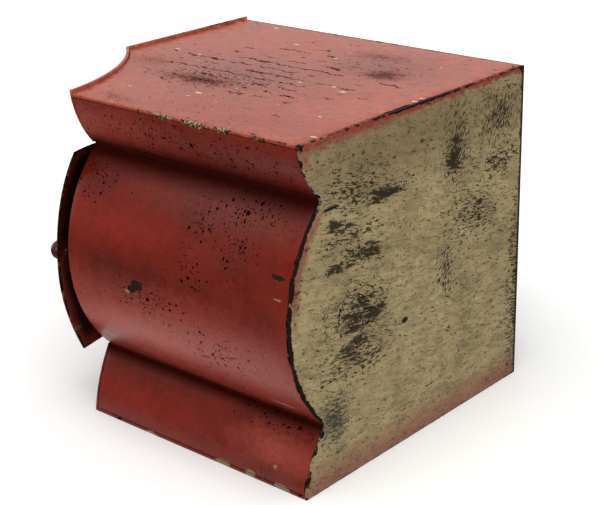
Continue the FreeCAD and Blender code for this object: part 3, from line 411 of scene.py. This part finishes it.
# %% Khaki primer: bare rim and worn neck
rubbed_places = patch(tree, mm, (((73, -60, 66), (20, 24, 50)), ((73, -62, 42), (20, 16, 22)),
                                 ((73, 0, 130), (20, 36, 4)), ((73, 66, 66), (20, 9, 110))))
rim = add(tree, "Math", {0: wander, 1: 0.45, 2: edge}, operation="MULTIPLY_ADD")
rim = add(tree, "Math", {0: rubbed_places, 1: -0.9, 2: rim}, operation="MULTIPLY_ADD")
silvery = add(tree, "MapRange", {0: rim, 1: 0.6, 2: 1.0, 3: 1.0, 4: 0.0})
silvery_places = patch(tree, mm, (((73, -54, 114), (20, 20, 20)), ((73, -52, 30), (20, 14, 18))))
silvery = add(tree, "Math", {0: silvery, 1: silvery_places}, operation="MULTIPLY")
black_rim = add(tree, "MapRange", {0: rim, 1: 0.1, 2: 0.4, 3: 1.0, 4: 0.0})
neck_wear = patch(tree, stirred, (((73, -50, 25), (20, 12, 16)),))
neck_wear = add(tree, "Math", {0: neck_wear, 1: 0.22, 2: marks}, operation="MULTIPLY_ADD")
neck_wear = add(tree, "MapRange", {0: neck_wear, 1: 0.58, 2: 0.66, 3: 0.0, 4: 0.9})
primer = layered(tree, primer, (
    (browned, "#76603f"), (bow_stain, "#8a4234"), (lower_stain, "#84402f"), (upper_line, "#8f3524"),
    (scuffs, "#1f1912"), (specks, "#2b251d"), (neck_wear, "#2b2722"), (black_mark, "#1a1614"),
    (silvery, "#8d8576"), (black_rim, "#1c1613"), (far_line, "#1c1613")))
tree.links.new(primer, shader.inputs["Base Color"])
print("bare rim, now", len(tree.nodes), "nodes")

# %% Khaki primer: gloss and relief
red_run = add(tree, "Math", {0: upper_line, 1: lower_stain}, operation="MAXIMUM")
tree.links.new(add(tree, "MapRange", {0: red_run, 3: 0.66, 4: 0.42}), shader.inputs["Roughness"])
worn_off = add(tree, "Math", {0: scuffs, 1: black_rim}, operation="MAXIMUM")
tree.links.new(add(tree, "MapRange", {0: worn_off, 3: 0.4, 4: 0.05}), shader.inputs["Specular IOR Level"])
relief = add(tree, "Math", {0: streaks, 1: 1.5, 2: -1.0}, operation="MULTIPLY_ADD")
relief = add(tree, "Math", {0: relief, 1: scuffs}, operation="SUBTRACT")
bumps = add(tree, "Bump", {"Height": relief, "Distance": 0.00012, "Strength": 0.6})
tree.links.new(bumps, shader.inputs["Normal"])
print("khaki primer of", len(tree.nodes), "nodes")

# %% [markdown]
# ## The case: sheets with soft edges and small dents
# A sheet could be modelled anew, but a copy of its CAD solid has every fold in its place. The copy is merged
# and freed of its spare triangles. Its sharp outer edges get a small bevel, as snipped and filed tin has.
# Cuts every few millimetres then let the sheet be pushed in and out by a fraction of a millimetre, and let
# each corner of the mesh remember how far it is from an edge, which the paint uses to wear. The wall that the
# lantern lies on stays flat. The hood's inside is the red darkened wherever the surface faces the lamp, more
# so
# away from its edges: partly soot from the lamp's smoke, partly painted shade under the hood.

# %% Red paint with soot and painted shade, for the hood
sooted_shaded_red = red.copy()
sooted_shaded_red.name = "sooted red oil paint with painted shade on tinplate"
tree = sooted_shaded_red.node_tree
shader = tree.nodes["Principled BSDF"]
facing = add(tree, "SeparateXYZ", {0: add(tree, "TexCoord", {}, out="Normal")})
place = add(tree, "TexCoord", {}, out="Object")
mm = add(tree, "Mapping", {"Vector": place, "Scale": (1000, 1000, 1000)})
smoke = add(tree, "TexNoise", {"Vector": mm, "Scale": 1 / 6, "Detail": 5, "Roughness": 0.6})
depth = add(tree, "Attribute", {}, out="Fac", attribute_name="edge_mm")
depth = add(tree, "Math", {0: smoke, 1: 4, 2: depth}, operation="MULTIPLY_ADD")
depth = add(tree, "MapRange", {0: depth, 1: 2.5, 2: 6.5, 3: 0.5, 4: 0.95})
# darkened where the hood's inside faces the lamp and away from its edges: partly soot, partly painted shade
# under the hood
soot_and_shade = add(tree, "MapRange", {0: facing, 1: 0.1, 2: 0.5})
soot_and_shade = add(tree, "Math", {0: soot_and_shade, 1: depth}, operation="MULTIPLY")
paint = shader.inputs["Base Color"].links[0].from_socket
tree.links.new(layered(tree, paint, ((soot_and_shade, "#180908"),)), shader.inputs["Base Color"])
print("sooty paint of", len(tree.nodes), "nodes")

# %% Copies of CAD nodes
body_of = {node: body for body, nodes in frame["record"]["behaviour"]["bodies"].items() for node in nodes}
slot_of = {subpart["node"]: subpart["material_slot"] for subpart in frame["record"]["subparts"]}
merge_distance = 1e-6
flat_angle = math.radians(0.5)
sharp_angle = math.radians(40)
smooth_angle = math.radians(30)


def merged_copy(name, node_name):
    """A merged copy of a CAD node without spare triangles, in edit mode, its sharp outer edges selected."""
    bpy.ops.object.select_all(action="DESELECT")
    piece = bpy.data.objects.new(name, frame["nodes"][node_name].data.copy())
    bpy.context.scene.collection.objects.link(piece)
    piece.select_set(True)
    bpy.context.view_layer.objects.active = piece
    bpy.ops.object.mode_set(mode="EDIT")
    bpy.ops.mesh.select_mode(type="EDGE")
    bpy.ops.mesh.select_all(action="SELECT")
    bpy.ops.mesh.remove_doubles(threshold=merge_distance)
    bpy.ops.mesh.dissolve_limited(angle_limit=flat_angle)
    bpy.ops.mesh.select_all(action="DESELECT")
    for edge in bmesh.from_edit_mesh(piece.data).edges:
        edge.select_set(edge.is_convex and edge.calc_face_angle() > sharp_angle)
    return piece


def dress(piece, finish, node_name, stands_for=True):
    """Smooth a finished piece, give it its finish, and let it ride with the body of a CAD node."""
    bpy.ops.object.mode_set(mode="OBJECT")
    bpy.ops.object.shade_smooth_by_angle(angle=smooth_angle)
    piece.data.materials.clear()
    piece.data.materials.append(finish)
    if stands_for:
        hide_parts(node_name)
    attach(piece, body_of[node_name])
    print(piece.name, "of", len(piece.data.polygons), "faces rides on", body_of[node_name])


# %% Sheets of the case
edge_bevel = 0.00018
cut_spacing = 0.003
dent_depth = 0.00035
dent_width = 0.028
sample_spacing = 0.0005


def worn_sheet(node_name, outward, finish, worn=0.0):
    """Bevelled, dented copy of a CAD sheet that knows how far each point is from an edge, less worn mm."""
    piece = merged_copy("tin_" + node_name, node_name)
    samples = []
    for edge in bmesh.from_edit_mesh(piece.data).edges:
        if edge.select:
            start, end = (corner.co for corner in edge.verts)
            steps = max(1, round(edge.calc_length() / sample_spacing))
            samples += [start.lerp(end, n / steps) for n in range(steps + 1)]
    edge_spots = kdtree.KDTree(len(samples))
    for number, spot in enumerate(samples):
        edge_spots.insert(spot, number)
    edge_spots.balance()
    bpy.ops.mesh.bevel(offset=edge_bevel, segments=2, affect="EDGES")
    low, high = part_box(node_name)
    for axis in range(3):
        normal = [0, 0, 0]
        normal[axis] = 1
        for step in range(1, int((high[axis] - low[axis]) / cut_spacing)):
            point = list(low)
            point[axis] += step * cut_spacing
            bpy.ops.mesh.select_all(action="SELECT")
            bpy.ops.mesh.bisect(plane_co=point, plane_no=normal)
    bpy.ops.object.mode_set(mode="OBJECT")
    mesh = piece.data
    distances = [edge_spots.find(vertex.co)[2] for vertex in mesh.vertices]
    for vertex, distance in zip(mesh.vertices, distances):
        calm = min(1, distance / dent_width * 2)
        vertex.co += Vector(outward) * noise.noise(vertex.co / dent_width) * dent_depth * calm
    from_edge = mesh.attributes.new("edge_mm", "FLOAT", "POINT")
    from_edge.data.foreach_set("value", [distance * 1000 - worn for distance in distances])
    dress(piece, finish, node_name)


worn_sheet("rear_panel", (0, -1, 0), red)
worn_sheet("right_side_wall", (0, 0, 1), red)
worn_sheet("left_side_wall", (0, 0, 0), red)
worn_sheet("lens_wall", (0, 1, 0), red)
worn_sheet("roof_plate", (-1, 0, 0), red)
worn_sheet("vent_hood", (-1, 0, 0), sooted_shaded_red, worn=0.7)
worn_sheet("base_plate", (1, 0, 0), khaki)

# %% [markdown]
# ## Brass, tinplate and steel
# The lens mount and the burner are turned brass under worn lacquer: golden where it is kept, brown where it
# tarnished, with rings left by the lathe round the lens, drawn coarser than the real ones so that they show.
# The lamp's tank and the condenser's cell are tinplate, whose tin freezes in crystals some 6 mm wide, each a
# little lighter or darker. Pins, springs and rivets are steel with a breath of rust. One even colour would
# look like plastic, so each metal has a pattern of its own.

# %% Brass
lens_low, lens_high = (Vector(corner) * 1000 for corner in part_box("lens_cap"))
brass, tree, shader, mm = finish_named("turned brass under worn lacquer", Metallic=1.0)
tarnish = add(tree, "TexNoise", {"Vector": mm, "Scale": 1 / 9, "Detail": 7, "Roughness": 0.65})
gold = add(tree, "ValToRGB", {0: tarnish}, stops=((0.34, "#7d5a2c"), (0.5, "#b98d4a"), (0.66, "#cfa863")))
spots = flecks(tree, mm, 3.2, tarnish, 1.0, 0.7)
tree.links.new(layered(tree, gold, ((spots, "#4d3a22"),)), shader.inputs["Base Color"])
dull = add(tree, "MapRange", {0: tarnish, 1: 0.35, 2: 0.65, 3: 0.44, 4: 0.2})
tree.links.new(dull, shader.inputs["Roughness"])
middle = (lens_low + lens_high) / 2
turned = add(tree, "Mapping", {"Vector": mm, "Location": (-middle.x, 0, -middle.z)})
turned = add(tree, "TexWave", {"Vector": turned, "Scale": 0.55, "Distortion": 0.6, "Detail": 2}, out="Fac",
             wave_type="RINGS", rings_direction="Y")
bumps = add(tree, "Bump", {"Height": turned, "Distance": 0.00001, "Strength": 0.5})
tree.links.new(bumps, shader.inputs["Normal"])
print(brass.name, "of", len(tree.nodes), "nodes")

# %% Tinplate
tin, tree, shader, mm = finish_named("dulled tinplate with frozen spangle", Metallic=1.0)
crystal = add(tree, "TexVoronoi", {"Vector": mm, "Scale": 1 / 6, "Randomness": 1.0}, out="Color")
crystal = add(tree, "SeparateColor", {0: crystal})
cloud = add(tree, "TexNoise", {"Vector": mm, "Scale": 1 / 12, "Detail": 6, "Roughness": 0.6})
metal = add(tree, "ValToRGB", {0: crystal}, stops=((0.0, "#a5a39b"), (1.0, "#c3c0b7")))
oxide = add(tree, "MapRange", {0: cloud, 1: 0.54, 2: 0.72, 3: 0.0, 4: 0.8})
tree.links.new(layered(tree, metal, ((oxide, "#6e6a60"),)), shader.inputs["Base Color"])
dull = add(tree, "Math", {0: crystal, 1: 0.16, 2: 0.3}, operation="MULTIPLY_ADD")
dull = add(tree, "Math", {0: oxide, 1: 0.25, 2: dull}, operation="MULTIPLY_ADD")
tree.links.new(dull, shader.inputs["Roughness"])
print(tin.name, "of", len(tree.nodes), "nodes")

# %% Steel
steel, tree, shader, mm = finish_named("bright drawn steel, lightly rusted", Metallic=1.0)
cloud = add(tree, "TexNoise", {"Vector": mm, "Scale": 1 / 3, "Detail": 6, "Roughness": 0.7})
rust = add(tree, "MapRange", {0: cloud, 1: 0.56, 2: 0.68, 3: 0.0, 4: 0.85})
blue_grey = add(tree, "ValToRGB", {0: cloud}, stops=((0.35, "#7f8386"), (0.6, "#a3a7a9")))
tree.links.new(layered(tree, blue_grey, ((rust, "#5b3a24"),)), shader.inputs["Base Color"])
tree.links.new(add(tree, "MapRange", {0: rust, 3: 0.28, 4: 0.7}), shader.inputs["Roughness"])
print(steel.name, "of", len(tree.nodes), "nodes")

# %% [markdown]
# ## Black japan, silver, glass, cotton and lacquer
# The slide stage is japanned: a baked asphalt varnish, brown-black and glossy with a faint orange peel. The
# reflector is silvered and has yellowed in patches. The lenses and the chimney are clear glass with finger
# smears. The wick is a flat cotton weave, its threads drawn coarser than real, charred at the flame. The
# hood's knob is turned metal under a dark glossy lacquer. Each needs only a few patterns, because these
# pieces are small or inside the case.

# %% Black japan
japan, tree, shader, mm = finish_named("baked black japan", IOR=1.52)
cloud = add(tree, "TexNoise", {"Vector": mm, "Scale": 1 / 14, "Detail": 6, "Roughness": 0.6})
varnish = add(tree, "ValToRGB", {0: cloud}, stops=((0.35, "#14100e"), (0.65, "#2a201a")))
rubs = flecks(tree, mm, 4, cloud, 1.02, 0.7)
tree.links.new(layered(tree, varnish, ((rubs, "#55473a"),)), shader.inputs["Base Color"])
tree.links.new(add(tree, "MapRange", {0: cloud, 1: 0.3, 2: 0.7, 3: 0.2, 4: 0.42}), shader.inputs["Roughness"])
peel = add(tree, "TexNoise", {"Vector": mm, "Scale": 1 / 0.9, "Detail": 2})
bumps = add(tree, "Bump", {"Height": peel, "Distance": 0.00003, "Strength": 0.5})
tree.links.new(bumps, shader.inputs["Normal"])
print(japan.name, "of", len(tree.nodes), "nodes")

# %% Silver
silver, tree, shader, mm = finish_named("silvered sheet, yellowed", Metallic=1.0)
cloud = add(tree, "TexNoise", {"Vector": mm, "Scale": 1 / 11, "Detail": 6, "Roughness": 0.62})
mirror = add(tree, "ValToRGB", {0: cloud}, stops=((0.42, "#e6e4de"), (0.58, "#d6cdb4"), (0.72, "#9c8656")))
tree.links.new(mirror, shader.inputs["Base Color"])
tree.links.new(add(tree, "MapRange", {0: cloud, 1: 0.4, 2: 0.7, 3: 0.06, 4: 0.3}), shader.inputs["Roughness"])
print(silver.name, "of", len(tree.nodes), "nodes")

# %% Glass
glass, tree, shader, mm = finish_named("polished clear glass with smears", IOR=1.52, Transmission_Weight=1.0)
shader.inputs["Base Color"].default_value = tint("#f2f7f5")
smear = add(tree, "TexNoise", {"Vector": mm, "Scale": 1 / 7, "Detail": 5, "Roughness": 0.6})
dull = add(tree, "MapRange", {0: smear, 1: 0.5, 2: 0.72, 3: 0.0, 4: 0.12})
tree.links.new(dull, shader.inputs["Roughness"])
print(glass.name, "of", len(tree.nodes), "nodes")

# %% Cotton
wick_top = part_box("wick")[0][0] * 1000
char_length = 6
cotton, tree, shader, mm = finish_named("woven cotton, charred at the flame", Roughness=0.9)
warp = add(tree, "TexWave", {"Vector": mm, "Scale": 0.5, "Distortion": 0.4}, out="Fac", bands_direction="Z")
weft = add(tree, "TexWave", {"Vector": mm, "Scale": 0.5, "Distortion": 0.4}, out="Fac", bands_direction="X")
weave = add(tree, "Math", {0: warp, 1: weft}, operation="MULTIPLY")
thread = add(tree, "ValToRGB", {0: weave}, stops=((0.0, "#9c8d6b"), (0.6, "#d8cdb1")))
length = add(tree, "SeparateXYZ", {0: mm})
char = add(tree, "MapRange", {0: length, 1: wick_top + 1, 2: wick_top + char_length, 3: 1.0, 4: 0.0})
tree.links.new(layered(tree, thread, ((char, "#1a1512"),)), shader.inputs["Base Color"])
tree.links.new(add(tree, "Bump", {"Height": weave, "Distance": 0.0001}), shader.inputs["Normal"])
print(cotton.name, "of", len(tree.nodes), "nodes")

# %% Lacquer
lacquer, tree, shader, mm = finish_named("dark gloss lacquer on turned metal", IOR=1.5)
cloud = add(tree, "TexNoise", {"Vector": mm, "Scale": 1 / 2.5, "Detail": 5, "Roughness": 0.6})
varnish = add(tree, "ValToRGB", {0: cloud}, stops=((0.35, "#3a0f0a"), (0.65, "#5f1d13")))
tree.links.new(varnish, shader.inputs["Base Color"])
tree.links.new(add(tree, "MapRange", {0: cloud, 1: 0.3, 2: 0.7, 3: 0.12, 4: 0.3}), shader.inputs["Roughness"])
print(lacquer.name, "of", len(tree.nodes), "nodes")

# %% Dress the CAD nodes
slots = {"brass": brass, "tinplate": tin, "steel": steel, "black_japan": japan, "silvered": silver,
         "clear_glass": glass, "cotton": cotton, "knob_lacquer": lacquer, "red_paint": red,
         "khaki_paint": khaki}
for subpart in frame["record"]["subparts"]:
    mesh = frame["nodes"][subpart["node"]].data
    mesh.materials.clear()
    mesh.materials.append(slots[subpart["material_slot"]])

# %% [markdown]
# ## Soft edges on the fittings
# No filed or pressed edge is perfectly sharp: a narrow rounding catches a line of light, and that line tells
# the eye how large a piece is. These fittings are merged copies of their CAD nodes, each with its outer edges
# bevelled by as much as its making would leave. The operator was chosen over a modifier because the sharp
# edges are already selected.

# %% Fittings with soft edges
roundings = {"stage_back_plate": 0.3, "stage_front_plate": 0.3, "stage_rails": 0.25, "lens_jacket": 0.25,
             "focus_tube": 0.2, "objective_ring": 0.15, "filler_cap": 0.25, "burner_collar": 0.25,
             "chimney_gallery": 0.12, "wick_knob": 0.12, "hinge_hood_leaf": 0.15, "hinge_roof_leaf": 0.15,
             "oil_font": 0.4, "lamp_ring": 0.15, "reflector_bracket": 0.2, "hood_knob": 0.2}
for node_name, millimetres in roundings.items():
    fitting = merged_copy("soft_" + node_name, node_name)
    bpy.ops.mesh.bevel(offset=millimetres / 1000, segments=2, affect="EDGES", clamp_overlap=True)
    dress(fitting, slots[slot_of[node_name]], node_name)

# %% [markdown]
# ## The lens cap and the grip ring
# The cap is a shallow cup, spun from brass. Its rim is milled with a straight knurl so that fingers can pull
# it, and the lathe left steps on its face. It could be spun from a profile, but a cylinder already has the
# flat faces that the knurl needs. Its open end is inset and pushed in to hollow it, its face is inset and
# stepped, and two cuts round its side leave a band in which every second face is pushed in. The grip ring on
# the focus tube is milled in the same way.

# %% Milling
sides = 120
knurl_gap = 0.0001
knurl_depth = 0.00025
rim_angle = math.radians(60)
facing_along = 0.9
facing_out = 0.5
cap_low, cap_high = (Vector(corner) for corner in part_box("lens_cap"))
lens_middle = (cap_low + cap_high) / 2


def pick(piece, chosen):
    """Select the faces of a piece in edit mode that pass a test."""
    bpy.ops.mesh.select_mode(type="FACE")
    for face in bmesh.from_edit_mesh(piece.data).faces:
        face.select_set(chosen(face))
    bmesh.update_edit_mesh(piece.data)


def mill(piece, low_y, high_y):
    """Cut a straight knurl into the side of a turned piece, between two places along Y."""
    for place in (low_y, high_y):
        bpy.ops.mesh.select_all(action="SELECT")
        bpy.ops.mesh.bisect(plane_co=(0, place, 0), plane_no=(0, 1, 0))

    def every_second(face):
        out = face.calc_center_median() - lens_middle
        number = round(math.atan2(out.x, out.z) / math.tau * sides - 0.5)
        outside = Vector((out.x, 0, out.z)).dot(face.normal) > 0 and abs(face.normal.y) < facing_out
        return outside and low_y < lens_middle.y + out.y < high_y and number % 2 == 0

    pick(piece, every_second)
    bpy.ops.mesh.inset(thickness=knurl_gap, use_individual=True)
    bpy.ops.transform.shrink_fatten(value=-knurl_depth)


def soften_rims(piece, width):
    """Bevel the sharp outer edges of a turned piece in edit mode."""
    bpy.ops.mesh.select_mode(type="EDGE")
    for edge in bmesh.from_edit_mesh(piece.data).edges:
        edge.select_set(edge.is_convex and edge.calc_face_angle() > rim_angle)
    bpy.ops.mesh.bevel(offset=width, segments=2, affect="EDGES", clamp_overlap=True)


print("knurl of", sides, "faces, every second one cut", knurl_depth * 1000, "mm deep")

# %% Lens cap
cap_wall = 0.0009
cap_rim = 0.00012
cap_steps = ((0.0013, -0.00025), (0.0032, 0.0002), (0.0045, -0.00015), (0.0035, 0.00015))
cap_knurl_low = 0.0036
cap_knurl_high = 0.0008
cap_radius = (cap_high.x - cap_low.x) / 2
cap_depth = cap_high.y - cap_low.y
bpy.ops.object.select_all(action="DESELECT")
bpy.ops.mesh.primitive_cylinder_add(vertices=sides, radius=cap_radius, depth=cap_depth, location=lens_middle,
                                    rotation=(-math.pi / 2, 0, 0))
cap = bpy.context.object
cap.name = "milled_lens_cap"
bpy.ops.object.transform_apply()
bpy.ops.object.mode_set(mode="EDIT")
pick(cap, lambda face: face.normal.y < -facing_along)
bpy.ops.mesh.inset(thickness=cap_wall)
bpy.ops.mesh.extrude_region_move(TRANSFORM_OT_translate={"value": (0, cap_depth - cap_wall, 0)})
pick(cap, lambda face: face.normal.y > facing_along)
for width, step in cap_steps:
    bpy.ops.mesh.inset(thickness=width)
    bpy.ops.mesh.extrude_region_move(TRANSFORM_OT_translate={"value": (0, step, 0)})
soften_rims(cap, cap_rim)
mill(cap, cap_high.y - cap_knurl_low, cap_high.y - cap_knurl_high)
dress(cap, brass, "lens_cap")

# %% Grip ring
grip_width = 0.0016
grip_radius = 0.01885
grip_wall = 0.0006
grip_rim = 0.0001
grip_to_cap = 0.0014
knurl_margin = 0.0002
grip_middle = lens_middle.copy()
grip_middle.y = cap_low.y - grip_to_cap
bpy.ops.object.select_all(action="DESELECT")
bpy.ops.mesh.primitive_cylinder_add(vertices=sides, radius=grip_radius, depth=grip_width,
                                    location=grip_middle, rotation=(-math.pi / 2, 0, 0))
grip = bpy.context.object
grip.name = "milled_grip_ring"
bpy.ops.object.transform_apply()
bpy.ops.object.mode_set(mode="EDIT")
pick(grip, lambda face: abs(face.normal.y) > facing_along)
bpy.ops.mesh.inset(thickness=grip_wall)
bpy.ops.mesh.bridge_edge_loops()
soften_rims(grip, grip_rim)
half_knurl = grip_width / 2 - knurl_margin
mill(grip, grip_middle.y - half_knurl, grip_middle.y + half_knurl)
dress(grip, brass, "focus_tube", stands_for=False)

# %% [markdown]
# ## Floor and light
# The lantern lies on a white paper sweep under a large soft light, with a weaker one at the camera's side.
# The background is full white for the camera alone, and lights the paint at less than half of that. In
# reflections the room is bright behind the lantern and dark behind the camera, and the floor darkens away
# from the lantern, so that the gloss doesn't bleach the paint.

# %% Floor
floor_width = 6
near_mm = 170
sweep_mm = 900
bpy.ops.object.select_all(action="DESELECT")
bpy.ops.mesh.primitive_plane_add(size=floor_width, location=(0, 0, 0))
floor = bpy.context.object
floor.name = "floor"
paper, tree, shader, mm = finish_named("white paper sweep", Roughness=0.9)
shader.inputs["Emission Color"].default_value = tint("#ffffff")
rays = add(tree, "LightPath", {}).node
near = add(tree, "Mapping", {"Vector": mm, "Scale": [1 / near_mm] * 3})
near = add(tree, "TexGradient", {"Vector": near}, out="Fac", gradient_type="SPHERICAL")
far = add(tree, "MapRange", {0: near, 1: 0.2, 2: 0.5, 3: 1.0, 4: 0.0})
far = add(tree, "Math", {0: far, 1: rays.outputs["Is Glossy Ray"]}, operation="MULTIPLY")
tree.links.new(layered(tree, tint("#f4f4f2"), ((far, "#4a4a48"),)), shader.inputs["Base Color"])
seen = add(tree, "Math", {0: rays.outputs["Is Camera Ray"], 1: rays.outputs["Is Transmission Ray"]},
           operation="MAXIMUM")
sweep = add(tree, "Mapping", {"Vector": mm, "Scale": [1 / sweep_mm] * 3})
sweep = add(tree, "TexGradient", {"Vector": sweep}, out="Fac", gradient_type="SPHERICAL")
sweep = add(tree, "MapRange", {0: sweep, 1: 0.2, 2: 0.85, 3: 0.7, 4: 0.12})
seen = add(tree, "Math", {0: seen, 1: sweep}, operation="MULTIPLY")
tree.links.new(seen, shader.inputs["Emission Strength"])
floor.data.materials.append(paper)
print("floor of", floor_width, "m")

# %% World
world = bpy.data.worlds.new("white studio")
bpy.context.scene.world = world
world.use_nodes = True
tree = world.node_tree
rays = add(tree, "LightPath", {}).node
way = add(tree, "TexCoord", {}, out="Generated")
to_camera = (0.62, -0.70, 0.36)
towards_room = add(tree, "VectorMath", {0: way, 1: to_camera}, out="Value", operation="DOT_PRODUCT")
room = add(tree, "MapRange", {0: towards_room, 1: -0.3, 2: 0.4, 3: 0.75, 4: 0.06})
mirrored = add(tree, "Math", {0: rays.outputs["Is Glossy Ray"], 1: rays.outputs["Is Transmission Ray"]},
               operation="MAXIMUM")
level = add(tree, "Mix", {0: mirrored, 2: 0.45, 3: room})
level = add(tree, "Math", {0: level, 1: rays.outputs["Is Camera Ray"]}, operation="MAXIMUM")
tree.nodes["Background"].inputs["Color"].default_value = tint("#ffffff")
tree.links.new(level, tree.nodes["Background"].inputs["Strength"])
print("world of", len(tree.nodes), "nodes")

# %% Lamps
def soft_light(name, place, aim, size, power):
    """A square area light that leaves no highlight, turned towards a point."""
    data = bpy.data.lights.new(name, "AREA")
    data.size = size
    data.energy = power
    data.specular_factor = 0
    lamp = bpy.data.objects.new(name, data)
    bpy.context.scene.collection.objects.link(lamp)
    lamp.location = place
    lamp.rotation_euler = (Vector(aim) - Vector(place)).to_track_quat("-Z", "Y").to_euler()
    print(name, "of", power, "W")


soft_light("overhead_softbox", (0.12, -0.2, 1.1), (0, 0, 0.05), 0.9, 9.5)
soft_light("camera_side_softbox", (0.8, -1.0, 0.5), (0, 0, 0.06), 0.7, 4)
bpy.context.scene.view_settings.view_transform = "Standard"
